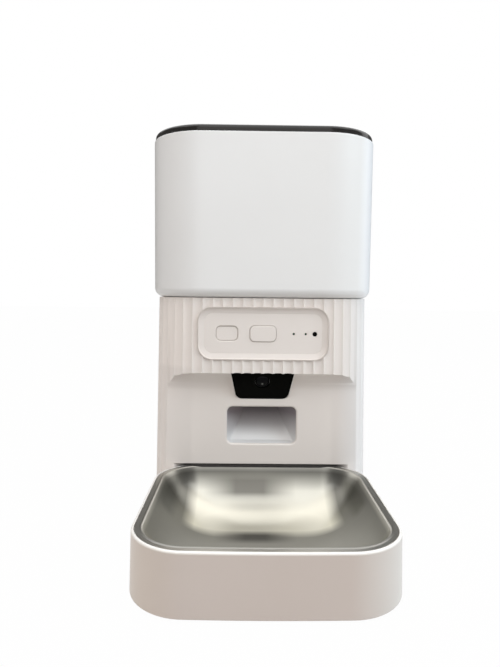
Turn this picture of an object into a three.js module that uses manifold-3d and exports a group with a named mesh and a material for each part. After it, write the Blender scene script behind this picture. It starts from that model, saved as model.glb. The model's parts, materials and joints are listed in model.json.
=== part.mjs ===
import * as THREE from 'three';
import { mergeVertices } from 'three/addons/utils/BufferGeometryUtils.js';
import Module from 'manifold-3d';

// Pet feeder with camera: a food hopper on a fluted tower, with a docked tray and a steel bowl.
// Millimetres, +Z up. The front faces -Y. The origin is on the floor, under the middle of the whole.
// A setback is a distance behind the hopper's front plane, and a height is measured from the floor.

// Values that many pieces share
const fitGap = 0.3;
const overrun = 6;
const wall = 2.5;
const footHeight = 2;
const cornerSteps = 6;
const middleCornerSteps = 4;
const smallCornerSteps = 3;
const largeSides = 32;
const middleSides = 24;
const roundSides = 18;
const smallSides = 10;

const hopper = {
  width: 195,
  depth: 190,
  cornerRadius: 46,
  height: 136,
  bottomRound: 8,
  roundSteps: 3,
  floor: 2.5,
  floorSlope: 5.5,
  floorSlopeRise: 8,
  ledgeWidth: 5.5,
  ledgeThick: 3,
  ledgeBelowRim: 8,
};

const lid = {
  thick: 5.7,
  inset: 1,
  edgeRound: 3.5,
  edgeSteps: 4,
  knobHole: 20,
  plugInset: 9,
  plugDepth: 23,
  plugWall: 2.5,
  collarInset: 3.2,
  sealThick: 2.7,
  sealInset: 3.5,
  sealToPlug: 0.7,
};

const knob = {
  discRadius: 23,
  discThick: 2,
  gripLength: 37,
  gripWidth: 9,
  gripHeight: 5.4,
  shaftRadius: 3,
  toothCount: 10,
  module: 0.8,
  toothShare: 0.19,
  rootShare: 1.2,
};

// Shares of a gear's module and pitch that all the teeth follow
const teeth = {
  tipShare: 0.85,
  rootShare: 1.15,
  flankShare: 0.09,
};

const bolt = {
  thick: 4.4,
  width: 8,
  floorGap: 2.6,
  tailPastShaft: 9,
  rackTeeth: 6,
};

const desiccant = {
  behindMiddle: 45,
  cupRadius: 24,
  cupWall: 1.6,
  cupDepth: 15,
  capThick: 2,
  capRim: 1.4,
  spigotDepth: 4,
  ventLength: 9,
  ventWidth: 2.4,
  ventCount: 6,
  ventRadius: 13,
  tabLength: 16,
  tabWidth: 3,
  tabHeight: 4,
};

// The gap shares split the height that the tray, outlet, camera and panel leave free
const tower = {
  height: 190.7,
  topInset: 4,
  draft: 3.5,
  deck: 2.4,
  flutePitch: 8.54,
  fluteDepth: 0.8,
  wallSetback: 17,
  outletGapShare: 0.39,
  podGapShare: 0.155,
  panelGapShare: 0.26,
  coveRadius: 17,
  coveSteps: 8,
};

const pod = {
  topSetback: 4.2,
  topBelowLip: 0.3,
  height: 24.8,
  topHalf: 27,
  bottomHalf: 22.4,
  cornerRadius: 6,
  rim: 1.2,
  backRim: 3,
  slab: 4.4,
  windowThick: 2,
  seatWidth: 2,
};

const camera = {
  upFromBottom: 18,
  windowHole: 6.4,
  lensRadius: 6,
  lensRise: 1.6,
  domeShares: [[1, 0], [0.8, 0.5], [0.5, 0.83], [0, 1]],
  barrelRadius: 7,
  barrelWall: 1.6,
  barrelLength: 11,
  plateThick: 2,
  boardWidth: 26,
  boardHeight: 20,
  boardThick: 1.6,
  chip: 8,
  chipThick: 1.5,
};

const panel = {
  width: 109.2,
  height: 42.8,
  cornerRadius: 11.5,
  bevel: 4.4,
  depth: 2.5,
  thick: 2,
  seat: 2.6,
  backThick: 2,
  blockMargin: 3,
  postRadius: 2,
  postX: 41,
  postRise: 9,
  boardWidth: 92,
  boardHeight: 25,
  boardThick: 1.6,
  smallHoleRadius: 0.85,
  micX: 26.1,
  resetX: 36.4,
  lampX: 44.1,
  lampRadius: 1.9,
};

const feedKey = {
  x: 0,
  width: 22.2,
  height: 13.5,
  rise: 0.6,
};

const resetKey = {
  x: -30.8,
  width: 18.4,
  height: 12.2,
  rise: -0.4,
};

const button = {
  cornerRadius: 4,
  flange: 1.5,
  flangeThick: 1.2,
  stemRadius: 3,
  stemLength: 1,
  travel: 0.8,
  switchGap: 0.1,
  switchSize: 6,
  switchHeight: 3.5,
};

const outlet = {
  width: 61,
  height: 32.9,
  cornerRadius: 5,
};

const chute = {
  wall: 2,
  neckHalf: 14,
  rampStartSetback: 27,
  rampStartRise: 1,
  bendFrontSetback: 33,
  bendFrontRise: 44,
  bendBackSetback: 50,
  bendBackRise: 29,
  shoulderHalf: 28,
  shoulderSetback: 24,
  shoulderRise: 35,
  flange: 3,
  flangeThick: 2,
};

const rotor = {
  behindMiddle: 5,
  housingRadius: 46,
  housingWall: 2,
  housingDepth: 35,
  flangeRadius: 54,
  flangeThick: 2.5,
  floor: 2.5,
  vaneCount: 6,
  vaneThick: 2.2,
  vaneHeight: 29,
  vaneGap: 1.2,
  hubRadius: 10,
  shaftRadius: 4,
  shaftAbove: 28,
  dropFront: 42,
  dropBack: 22,
  baffleThick: 2,
  baffleEdge: 4,
};

const funnel = {
  wall: 2,
  topAboveFloor: 51,
  throatAboveFloor: 6,
  throatRadius: 43,
};

const gears = {
  module: 1.25,
  drivenTeeth: 24,
  pinionTeeth: 12,
  toothShare: 0.2,
  thick: 5.5,
  belowFloor: 2.6,
  caseGap: 0.7,
  caseWall: 1.7,
  caseFloor: 2.2,
  underGears: 3,
  stubRadius: 2,
  stubLength: 9,
};

const motor = {
  radius: 13.5,
  length: 40,
  neckRadius: 5,
  neckLength: 2,
  endCap: 9,
  endCapRadius: 11,
};

const basePlate = {
  thick: 2.5,
  footRadius: 9,
  footFromSide: 31.5,
  footFromFront: 44,
  footFromRear: 30,
  screwFromSide: 12.5,
  screwFromFront: 62,
  screwFromRear: 50,
  bossRadius: 4,
  bossHeight: 24,
  ribThick: 3,
  slotLength: 26,
  slotWidth: 2.2,
  slotCount: 5,
};

const screw = {
  headRadius: 3,
  headThick: 1.8,
  shankRadius: 1.5,
  length: 14,
  slotLength: 4,
  slotWidth: 0.8,
  slotDepth: 0.8,
};

const speaker = {
  fromSide: 45.5,
  behindMiddle: 5.5,
  radius: 20,
  rimThick: 3,
  magnetRadius: 11,
  magnetThick: 8,
};

const battery = {
  cellRadius: 16.8,
  cellLength: 59.5,
  nubRadius: 4.6,
  nubLength: 1.6,
  cellGap: 1,
  boxWall: 2,
  springSpace: 2.6,
  contactThick: 0.8,
  contactHeight: 14,
  doorThick: 2.4,
  doorMargin: 3,
  doorRim: 2,
  thumbLength: 26,
  thumbHeight: 2,
  thumbRise: 0.6,
};

const rearPad = {
  width: 124,
  height: 74,
  bottomHeight: 4,
  depth: 3,
};

const inlet = {
  fromPadSide: 20,
  height: 62,
  body: 12,
  bodyDepth: 14,
  noseRadius: 5.6,
  boreRadius: 3.2,
  boreDepth: 10,
  pinRadius: 1,
};

const mainBoard = {
  width: 74,
  height: 58,
  thick: 1.6,
  x: -18,
  bottomHeight: 58,
  postRadius: 3,
  postLength: 16,
  postInset: 6,
  chip: 14,
  chipThick: 1.6,
  capRadius: 4,
  capHeight: 9,
  plugWidth: 12,
  plugDepth: 6,
};

const tray = {
  reach: 144,
  width: 181,
  draft: 1,
  height: 43.5,
  cornerRadius: 38.5,
  frontBulge: 2.5,
  bulgeSteps: 8,
  dock: 8,
  wall: 2.2,
  lip: 1.8,
  edgeRound: 1.6,
  stepDepth: 1.5,
  ledgeThick: 2.5,
  floor: 2.2,
  footRadius: 7,
  footX: 55,
  footFrontInset: 34,
  footRearInset: 40,
  tongueX: 45,
  tongueWidth: 12,
  tongueThick: 3,
  tongueLength: 9,
  tongueHeight: 20,
};

const slot = {
  sideGap: 1.2,
  headroom: 2.5,
};

const bowl = {
  sheet: 1,
  flangeWidth: 4.4,
  rimGap: 0.3,
  depth: 33.5,
  rimRound: 1.6,
  rimSteps: 2,
  leanShare: 0.5,
  floorRound: 54,
  floorSteps: 8,
  leastCorner: 22,
  rearClearance: 0.7,
};

// Heights and places that follow from the values above
const totalDepth = hopper.depth + tray.reach;
const frontY = tray.reach - totalDepth / 2;
const middleY = frontY + hopper.depth / 2;
const towerTop = footHeight + tower.height;
const hopperBottom = towerTop + fitGap;
const rimHeight = hopperBottom + hopper.height;
const ledgeTop = rimHeight - hopper.ledgeBelowRim;
const ledgeBottom = ledgeTop - hopper.ledgeThick;
const lidBottom = rimHeight + fitGap;
const slotTop = tray.height + slot.headroom;
const freeHeight = hopperBottom - slotTop - outlet.height - pod.height - panel.height;
const outletBottom = slotTop + tower.outletGapShare * freeHeight;
const outletMiddle = outletBottom + outlet.height / 2;
const podBottomHeight = outletBottom + outlet.height + tower.podGapShare * freeHeight;
const lipHeight = podBottomHeight + pod.height;
const panelHeight = lipHeight + tower.panelGapShare * freeHeight + panel.height / 2;
const wallY = frontY + tower.wallSetback;
const wallBackY = wallY + wall;
const rotorY = middleY + rotor.behindMiddle;
const housingTop = hopperBottom + rotor.flangeThick;
const housingBottom = hopperBottom - rotor.housingDepth;
const gearTop = housingBottom - gears.belowFloor;
const gearBottom = gearTop - gears.thick;
const gearReach = (gears.module * (gears.drivenTeeth + gears.pinionTeeth)) / 2;
const motorY = rotorY + gearReach;
const caseFloorTop = gearBottom - gears.underGears;
const caseBottom = caseFloorTop - gears.caseFloor;
const plateTop = footHeight + basePlate.thick;
const trayRearY = wallY + tray.dock;

const wasm = await Module();
wasm.setup();

// The tower's front and back planes lean out towards the floor
function towerGrowth(height) {
  return (tower.draft * (towerTop - height)) / tower.height;
}

// Corners given as [x, y, radius] become one outline with true arcs
function roundedOutline(corners, steps = cornerSteps) {
  const outline = [];
  corners.forEach(([x, y, radius], index) => {
    const before = corners[(index + corners.length - 1) % corners.length];
    const after = corners[(index + 1) % corners.length];
    const corner = new THREE.Vector2(x, y);
    const toBefore = new THREE.Vector2(before[0], before[1]).sub(corner).normalize();
    const toAfter = new THREE.Vector2(after[0], after[1]).sub(corner).normalize();
    if (radius === 0) {
      outline.push(corner);
      return;
    }
    const halfAngle = Math.acos(toBefore.dot(toAfter)) / 2;
    const middle = toBefore.clone().add(toAfter).normalize();
    const centre = corner.clone().addScaledVector(middle, radius / Math.sin(halfAngle));
    const start = corner.clone().addScaledVector(toBefore, radius / Math.tan(halfAngle)).sub(centre);
    const end = corner.clone().addScaledVector(toAfter, radius / Math.tan(halfAngle)).sub(centre);
    const sweep = Math.atan2(start.cross(end), start.dot(end));
    for (let step = 0; step <= steps; step += 1) {
      const arm = start.clone().rotateAround(new THREE.Vector2(), (sweep * step) / steps);
      outline.push(centre.clone().add(arm));
    }
  });
  return outline;
}

function roundedRectangle(width, depth, radius, centreX = 0, centreY = 0, steps = cornerSteps) {
  const [x, y] = [width / 2, depth / 2];
  return roundedOutline([
    [centreX - x, centreY - y, radius],
    [centreX + x, centreY - y, radius],
    [centreX + x, centreY + y, radius],
    [centreX - x, centreY + y, radius],
  ], steps);
}

// The hopper's plan, drawn in by an inset; the tower, lid and funnel all follow it
function bodyOutline(inset) {
  const width = hopper.width - 2 * inset;
  const depth = hopper.depth - 2 * inset;
  return roundedRectangle(width, depth, hopper.cornerRadius - inset, 0, middleY);
}

// A point on the body outline at a share of its length, from the middle of the front, with its normal
function bodyOutlineAt(inset, lengthShare) {
  const radius = hopper.cornerRadius - inset;
  const sideX = hopper.width / 2 - inset;
  const sideY = hopper.depth / 2 - inset;
  const [flatX, flatY] = [sideX - radius, sideY - radius];
  const quarter = (Math.PI / 2) * radius;
  const stretches = [flatX, quarter, 2 * flatY, quarter, 2 * flatX, quarter, 2 * flatY, quarter, flatX];
  let left = lengthShare * stretches.reduce((sum, length) => sum + length, 0);
  let stretch = 0;
  while (left > stretches[stretch] && stretch < stretches.length - 1) {
    left -= stretches[stretch];
    stretch += 1;
  }
  const turned = Math.floor(stretch / 2);
  const starts = [[0, -sideY], [sideX, -flatY], [flatX, sideY], [-sideX, flatY], [-flatX, -sideY]];
  const bends = [[flatX, -flatY], [flatX, flatY], [-flatX, flatY], [-flatX, -flatY]];
  const angle = (turned * Math.PI) / 2;
  if (stretch % 2 === 0) {
    const point = new THREE.Vector2(starts[turned][0], starts[turned][1]);
    point.add(new THREE.Vector2(Math.cos(angle), Math.sin(angle)).multiplyScalar(left));
    return { point, normal: new THREE.Vector2(Math.sin(angle), -Math.cos(angle)) };
  }
  const bend = new THREE.Vector2(bends[turned][0], bends[turned][1]);
  const direction = angle - Math.PI / 2 + left / radius;
  const normal = new THREE.Vector2(Math.cos(direction), Math.sin(direction));
  return { point: bend.addScaledVector(normal, radius), normal };
}

// The tower's plan: upright ridges with shallow hollows between them
function flutedOutline(inset) {
  const middleInset = tower.topInset;
  const straight = 2 * (hopper.width + hopper.depth) - 8 * hopper.cornerRadius;
  const around = straight + 2 * Math.PI * (hopper.cornerRadius - middleInset);
  const fluteCount = Math.round(around / tower.flutePitch);
  const hollowShares = [0, 1];
  const outline = [];
  for (let flute = 0; flute < fluteCount; flute += 1) {
    hollowShares.forEach((hollowShare, index) => {
      const lengthShare = (flute + index / hollowShares.length) / fluteCount;
      const { point, normal } = bodyOutlineAt(inset, lengthShare);
      point.addScaledVector(normal, -hollowShare * tower.fluteDepth);
      outline.push(new THREE.Vector2(point.x, point.y + middleY));
    });
  }
  return outline;
}

function ringAt(outline, height) {
  return outline.map((point) => new THREE.Vector3(point.x, point.y, height));
}

// A closed body through rings of equally many points, with a fan across each end
function loft(rings) {
  const corners = [];
  const addFace = (a, b, c) => corners.push(a, b, c);
  const count = rings[0].length;
  for (let level = 0; level + 1 < rings.length; level += 1) {
    const [lower, upper] = [rings[level], rings[level + 1]];
    for (let index = 0; index < count; index += 1) {
      const next = (index + 1) % count;
      addFace(lower[index], lower[next], upper[next]);
      addFace(lower[index], upper[next], upper[index]);
    }
  }
  const closeEnd = (ring, faceDown) => {
    const centre = new THREE.Vector3();
    ring.forEach((point) => centre.addScaledVector(point, 1 / count));
    for (let index = 0; index < count; index += 1) {
      const next = (index + 1) % count;
      addFace(centre, ring[faceDown ? next : index], ring[faceDown ? index : next]);
    }
  };
  closeEnd(rings[0], true);
  closeEnd(rings[rings.length - 1], false);
  let volume = 0;
  for (let index = 0; index < corners.length; index += 3) {
    const cross = corners[index + 1].clone().cross(corners[index + 2]);
    volume += corners[index].dot(cross);
  }
  if (volume < 0) {
    corners.reverse();
  }
  const geometry = new THREE.BufferGeometry().setFromPoints(corners);
  return toSolid(geometry);
}

function toSolid(geometry) {
  const plain = geometry.clone();
  plain.deleteAttribute('normal');
  plain.deleteAttribute('uv');
  const merged = mergeVertices(plain);
  const indices = merged.index.array;
  const faces = [];
  for (let index = 0; index < indices.length; index += 3) {
    const [a, b, c] = indices.slice(index, index + 3);
    if (a !== b && b !== c && c !== a) {
      faces.push(a, b, c);
    }
  }
  const mesh = new wasm.Mesh({
    numProp: 3,
    vertProperties: new Float32Array(merged.attributes.position.array),
    triVerts: new Uint32Array(faces),
  });
  return new wasm.Manifold(mesh);
}

function toGeometry(solid) {
  const mesh = solid.getMesh();
  const geometry = new THREE.BufferGeometry();
  geometry.setAttribute('position', new THREE.BufferAttribute(new Float32Array(mesh.vertProperties), 3));
  geometry.setIndex(new THREE.BufferAttribute(new Uint32Array(mesh.triVerts), 1));
  geometry.computeVertexNormals();
  return geometry;
}

function join(first, ...others) {
  return others.reduce((solid, other) => solid.add(other), first);
}

function cut(first, ...others) {
  return others.reduce((solid, other) => solid.subtract(other), first);
}

// A block between two corners
function block(lowX, lowY, lowZ, highX, highY, highZ) {
  const geometry = new THREE.BoxGeometry(highX - lowX, highY - lowY, highZ - lowZ);
  geometry.translate((lowX + highX) / 2, (lowY + highY) / 2, (lowZ + highZ) / 2);
  return toSolid(geometry);
}

// An upright disc or rod
function upright(radius, lowZ, highZ, x = 0, y = 0, sides = roundSides) {
  const geometry = new THREE.CylinderGeometry(radius, radius, highZ - lowZ, sides);
  geometry.rotateX(Math.PI / 2);
  geometry.translate(x, y, (lowZ + highZ) / 2);
  return toSolid(geometry);
}

// A rod along Y
function level(radius, lowY, highY, x, z, sides = smallSides) {
  const geometry = new THREE.CylinderGeometry(radius, radius, highY - lowY, sides);
  geometry.translate(x, (lowY + highY) / 2, z);
  return toSolid(geometry);
}

function prism(outline, lowZ, highZ) {
  const options = { depth: highZ - lowZ, bevelEnabled: false };
  const geometry = new THREE.ExtrudeGeometry(new THREE.Shape(outline), options);
  geometry.translate(0, 0, lowZ);
  return toSolid(geometry);
}

// An outline in X and Z, carried along Y
function prismAlongY(outline, lowY, highY) {
  const options = { depth: highY - lowY, bevelEnabled: false };
  const geometry = new THREE.ExtrudeGeometry(new THREE.Shape(outline), options);
  geometry.rotateX(Math.PI / 2);
  geometry.translate(0, highY, 0);
  return toSolid(geometry);
}

// An outline in Y and Z, carried along X
function prismAlongX(outline, lowX, highX) {
  const options = { depth: highX - lowX, bevelEnabled: false };
  const geometry = new THREE.ExtrudeGeometry(new THREE.Shape(outline), options);
  const along = new THREE.Matrix4().makeBasis(
    new THREE.Vector3(0, 1, 0),
    new THREE.Vector3(0, 0, 1),
    new THREE.Vector3(1, 0, 0),
  );
  geometry.applyMatrix4(along);
  geometry.translate(lowX, 0, 0);
  return toSolid(geometry);
}

// A body turned about an upright axis; the profile is [radius, height] pairs
function turned(profile, x, y, sides = roundSides) {
  const points = profile.map(([radius, height]) => new THREE.Vector2(radius, height));
  const geometry = new THREE.LatheGeometry(points, sides);
  geometry.rotateX(Math.PI / 2);
  geometry.translate(x, y, 0);
  return toSolid(geometry);
}

function gearOutline(count, module, toothShare, turnShare) {
  const radius = (count * module) / 2;
  const tipRadius = radius + teeth.tipShare * module;
  const rootRadius = radius - teeth.rootShare * module;
  const outline = [];
  for (let tooth = 0; tooth < count; tooth += 1) {
    const edges = [
      [rootRadius, -toothShare - teeth.flankShare],
      [tipRadius, -toothShare + teeth.flankShare],
      [tipRadius, toothShare - teeth.flankShare],
      [rootRadius, toothShare + teeth.flankShare],
    ];
    edges.forEach(([reach, offsetShare]) => {
      const angle = (2 * Math.PI * (tooth + turnShare + offsetShare)) / count;
      outline.push(new THREE.Vector2(reach * Math.cos(angle), reach * Math.sin(angle)));
    });
  }
  return outline;
}

function shifted(outline, x, y) {
  return outline.map((point) => new THREE.Vector2(point.x + x, point.y + y));
}

// The slanted camera face: X across, then up the slant, then straight out of it
const podTopHeight = lipHeight - pod.topBelowLip;
const podRun = tower.wallSetback - pod.topSetback;
const podRise = podTopHeight - podBottomHeight;
const podSlant = Math.hypot(podRun, podRise);
const podFrame = new THREE.Matrix4().makeBasis(
  new THREE.Vector3(1, 0, 0),
  new THREE.Vector3(0, -podRun / podSlant, podRise / podSlant),
  new THREE.Vector3(0, -podRise / podSlant, -podRun / podSlant),
);
podFrame.setPosition(0, wallY, podBottomHeight);

function podOutline(grow, growTop = grow) {
  const radius = Math.max(pod.cornerRadius + grow, fitGap);
  return roundedOutline([
    [-pod.bottomHalf - grow, -grow, radius],
    [pod.bottomHalf + grow, -grow, radius],
    [pod.topHalf + grow, podSlant + growTop, 0],
    [-pod.topHalf - grow, podSlant + growTop, 0],
  ], middleCornerSteps);
}

// An outline on the slanted camera face, from one depth below it to another
function prismOnPod(outline, deepDepth, shallowDepth) {
  const options = { depth: deepDepth - shallowDepth, bevelEnabled: false };
  const geometry = new THREE.ExtrudeGeometry(new THREE.Shape(outline), options);
  geometry.translate(0, 0, -deepDepth);
  geometry.applyMatrix4(podFrame);
  return toSolid(geometry);
}

function rodOnPod(radius, deepDepth, shallowDepth, sides = roundSides) {
  const geometry = new THREE.CylinderGeometry(radius, radius, deepDepth - shallowDepth, sides);
  geometry.rotateX(Math.PI / 2);
  geometry.translate(0, camera.upFromBottom, -(deepDepth + shallowDepth) / 2);
  geometry.applyMatrix4(podFrame);
  return toSolid(geometry);
}

// The space in front of the recessed wall, with a cove under the fluted band
function recessSpace(grow) {
  const coveY = wallY - tower.coveRadius;
  const coveHeight = lipHeight - tower.coveRadius;
  const farY = frontY - hopper.depth / 2;
  const radius = tower.coveRadius + grow;
  const outline = [new THREE.Vector2(farY, coveHeight + radius)];
  for (let step = 0; step <= tower.coveSteps; step += 1) {
    const angle = (Math.PI / 2) * (1 - step / tower.coveSteps);
    outline.push(new THREE.Vector2(coveY + radius * Math.cos(angle), coveHeight + radius * Math.sin(angle)));
  }
  outline.push(new THREE.Vector2(wallY + grow, -overrun));
  outline.push(new THREE.Vector2(farY, -overrun));
  return prismAlongX(outline, -hopper.width, hopper.width);
}

// The tray's plan, drawn in by an inset, with its front edge bowed forward
function trayOutline(inset, leastCorner = 0) {
  const halfWidth = tray.width / 2 - inset;
  const lowY = frontY - tray.reach + tray.frontBulge + inset;
  const highY = trayRearY - inset;
  const radius = Math.max(tray.cornerRadius - inset, leastCorner);
  const corners = roundedOutline([
    [-halfWidth, lowY, radius],
    [halfWidth, lowY, radius],
    [halfWidth, highY, radius],
    [-halfWidth, highY, radius],
  ]);
  const flatHalf = halfWidth - radius;
  const frontPoints = [];
  for (let step = 1; step < tray.bulgeSteps; step += 1) {
    const acrossShare = (2 * step) / tray.bulgeSteps - 1;
    frontPoints.push(new THREE.Vector2(acrossShare * flatHalf, lowY));
  }
  corners.splice(cornerSteps + 1, 0, ...frontPoints);
  const turnY = lowY + radius;
  return corners.map((point) => {
    const frontShare = THREE.MathUtils.clamp((turnY - point.y) / radius, 0, 1);
    const acrossShare = point.x / halfWidth;
    const bulge = tray.frontBulge * (1 - acrossShare * acrossShare) * frontShare;
    return new THREE.Vector2(point.x, point.y - bulge);
  });
}

function hopperShell() {
  const rings = [];
  for (let step = 0; step <= hopper.roundSteps; step += 1) {
    const angle = (Math.PI / 2) * (step / hopper.roundSteps);
    const inset = hopper.bottomRound * (1 - Math.sin(angle));
    rings.push(ringAt(bodyOutline(inset), hopperBottom + hopper.bottomRound * (1 - Math.cos(angle))));
  }
  rings.push(ringAt(bodyOutline(0), rimHeight));
  const floorTop = hopperBottom + hopper.floor;
  const foodSpace = loft([
    ringAt(bodyOutline(wall + hopper.floorSlope), floorTop),
    ringAt(bodyOutline(wall), floorTop + hopper.floorSlopeRise),
    ringAt(bodyOutline(wall), ledgeBottom),
  ]);
  const ledgeOpening = prism(bodyOutline(wall + hopper.ledgeWidth), ledgeBottom - overrun, rimHeight);
  const rimOpening = prism(bodyOutline(wall), ledgeTop, rimHeight + overrun);
  const throatRadius = rotor.flangeRadius + fitGap;
  const throat = upright(throatRadius, hopperBottom - overrun, floorTop + overrun, 0, rotorY, largeSides);
  return cut(loft(rings), foodSpace, ledgeOpening, rimOpening, throat);
}

function lidCover() {
  const top = lidBottom + lid.thick;
  const rings = [ringAt(bodyOutline(lid.inset), lidBottom)];
  for (let step = 0; step <= lid.edgeSteps; step += 1) {
    const angle = (Math.PI / 2) * (step / lid.edgeSteps);
    const inset = lid.inset + lid.edgeRound * (1 - Math.cos(angle));
    const height = top - lid.edgeRound * (1 - Math.sin(angle));
    rings.push(ringAt(bodyOutline(inset), height));
  }
  const knobHole = upright(lid.knobHole, lidBottom - overrun, top + overrun, 0, middleY, largeSides);
  return cut(loft(rings), knobHole);
}

const sealBottom = ledgeTop + fitGap;
const collarBottom = sealBottom + lid.sealThick + fitGap;
const plugBottom = rimHeight - lid.plugDepth;
const plugFloorTop = plugBottom + lid.plugWall;
const boltBottom = plugFloorTop + bolt.floorGap;
const boltTop = boltBottom + bolt.thick;
const knobPitchRadius = (knob.toothCount * knob.module) / 2;
const boltNearY = knobPitchRadius + knob.rootShare * knob.module;
const boltTipX = hopper.width / 2 - lid.plugInset - fitGap;
const desiccantY = middleY + desiccant.behindMiddle;

function lidLiner() {
  const collar = prism(bodyOutline(lid.collarInset), collarBottom, rimHeight);
  const plug = prism(bodyOutline(lid.plugInset), plugBottom, collarBottom + fitGap);
  const hollow = prism(bodyOutline(lid.plugInset + lid.plugWall), plugFloorTop, rimHeight + overrun);
  const windowX = hopper.width / 2 - lid.plugInset - lid.plugWall;
  const windowFor = (side) => {
    const lowY = middleY + side * (boltNearY + bolt.width / 2) - bolt.width / 2 - fitGap;
    const lowX = side > 0 ? windowX - overrun : -windowX - overrun;
    const highY = lowY + bolt.width + 2 * fitGap;
    return block(lowX, lowY, boltBottom - fitGap, lowX + 2 * overrun, highY, boltTop + fitGap);
  };
  const cupTop = plugBottom + desiccant.cupDepth;
  const inCup = (radius, lowZ, highZ) => upright(radius, lowZ, highZ, 0, desiccantY, middleSides);
  const cup = inCup(desiccant.cupRadius + desiccant.cupWall, plugBottom, cupTop);
  const cupHollow = inCup(desiccant.cupRadius, plugBottom - overrun, cupTop - desiccant.cupWall);
  const shaftSeat = upright(2 * knob.shaftRadius, plugFloorTop - fitGap, boltBottom - fitGap, 0, middleY);
  const shell = join(cut(join(collar, plug), hollow), cup, shaftSeat);
  return cut(shell, cupHollow, windowFor(1), windowFor(-1));
}

function lidSeal() {
  const top = sealBottom + lid.sealThick;
  const ring = prism(bodyOutline(lid.sealInset), sealBottom, top);
  return cut(ring, prism(bodyOutline(lid.plugInset - lid.sealToPlug), sealBottom - overrun, top + overrun));
}

function lidKnob() {
  const discTop = rimHeight;
  const discBottom = discTop - knob.discThick;
  const disc = upright(knob.discRadius, discBottom, discTop, 0, middleY, largeSides);
  const grip = prism(
    roundedRectangle(knob.gripLength, knob.gripWidth, knob.gripWidth / 3, 0, middleY, smallCornerSteps),
    discTop - knob.discThick / 2,
    discTop + knob.gripHeight,
  );
  const shaftTop = discBottom + knob.discThick / 2;
  const shaft = upright(knob.shaftRadius, boltTop - bolt.thick / 2, shaftTop, 0, middleY, smallSides);
  const outline = gearOutline(knob.toothCount, knob.module, knob.toothShare, knob.toothCount / 4);
  const pinion = prism(shifted(outline, 0, middleY), boltBottom, boltTop);
  return join(disc, grip, shaft, pinion);
}

// The bolt on the right has its rack behind the shaft, and the left one is the same bolt turned half round
function lidBolt(side) {
  const pitch = Math.PI * knob.module;
  const addendum = teeth.tipShare * knob.module;
  const tipShare = knob.toothShare - teeth.flankShare;
  const rootShare = knob.toothShare + teeth.flankShare;
  const outline = [new THREE.Vector2(boltTipX, boltNearY)];
  outline.push(new THREE.Vector2(boltTipX, boltNearY + bolt.width));
  outline.push(new THREE.Vector2(-bolt.tailPastShaft, boltNearY + bolt.width));
  outline.push(new THREE.Vector2(-bolt.tailPastShaft, boltNearY));
  for (let tooth = 0; tooth < bolt.rackTeeth; tooth += 1) {
    const x = pitch * (tooth + 1 / 2 - bolt.rackTeeth / 2);
    outline.push(new THREE.Vector2(x - rootShare * pitch, boltNearY));
    outline.push(new THREE.Vector2(x - tipShare * pitch, knobPitchRadius - addendum));
    outline.push(new THREE.Vector2(x + tipShare * pitch, knobPitchRadius - addendum));
    outline.push(new THREE.Vector2(x + rootShare * pitch, boltNearY));
  }
  const placed = outline.map((point) => new THREE.Vector2(side * point.x, side * point.y + middleY));
  return prism(placed, boltBottom, boltTop);
}

function desiccantCap() {
  const capTop = plugBottom - fitGap;
  const capBottom = capTop - desiccant.capThick;
  const spigotRadius = desiccant.cupRadius - fitGap;
  const spigotInner = spigotRadius - desiccant.cupWall;
  const spigotTop = capTop + desiccant.spigotDepth;
  const disc = (radius, lowZ, highZ) => upright(radius, lowZ, highZ, 0, desiccantY, middleSides);
  const plate = disc(desiccant.cupRadius + desiccant.capRim, capBottom, capTop);
  const spigot = disc(spigotRadius, capTop - fitGap, spigotTop);
  const spigotHollow = disc(spigotInner, capTop, spigotTop + overrun);
  const tab = block(
    -desiccant.tabLength / 2, desiccantY - desiccant.tabWidth / 2, capBottom - desiccant.tabHeight,
    desiccant.tabLength / 2, desiccantY + desiccant.tabWidth / 2, capTop,
  );
  const vents = [];
  for (let vent = 0; vent < desiccant.ventCount; vent += 1) {
    const angle = (2 * Math.PI * (vent + 1 / 2)) / desiccant.ventCount;
    const geometry = new THREE.BoxGeometry(desiccant.ventLength, desiccant.ventWidth, 2 * overrun);
    geometry.translate(desiccant.ventRadius, 0, capTop);
    geometry.rotateZ(angle);
    geometry.translate(0, desiccantY, 0);
    vents.push(toSolid(geometry));
  }
  return cut(join(cut(join(plate, spigot), spigotHollow), tab), ...vents);
}

function hopperFunnel() {
  const floorTop = hopperBottom + hopper.floor;
  const neckBottom = housingTop + fitGap;
  const circle = (radius, height) => {
    const count = 4 * (cornerSteps + 1);
    const ring = [];
    for (let index = 0; index < count; index += 1) {
      const angle = -Math.PI + ((index + 1 / 2) * 2 * Math.PI) / count;
      ring.push(new THREE.Vector3(radius * Math.cos(angle), rotorY + radius * Math.sin(angle), height));
    }
    return ring;
  };
  const brimHeight = floorTop + funnel.topAboveFloor;
  const surface = (grow, lift) => loft([
    circle(funnel.throatRadius + grow, neckBottom - lift),
    circle(funnel.throatRadius + grow, floorTop + funnel.throatAboveFloor),
    ringAt(bodyOutline(wall + fitGap + funnel.wall - grow), brimHeight),
    ringAt(bodyOutline(wall + fitGap + funnel.wall - grow), brimHeight + funnel.wall + lift),
  ]);
  return cut(surface(funnel.wall, 0), surface(0, overrun));
}

function shaftBore(lowZ, highZ) {
  return upright(rotor.shaftRadius + fitGap, lowZ, highZ, 0, rotorY, smallSides);
}

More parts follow.
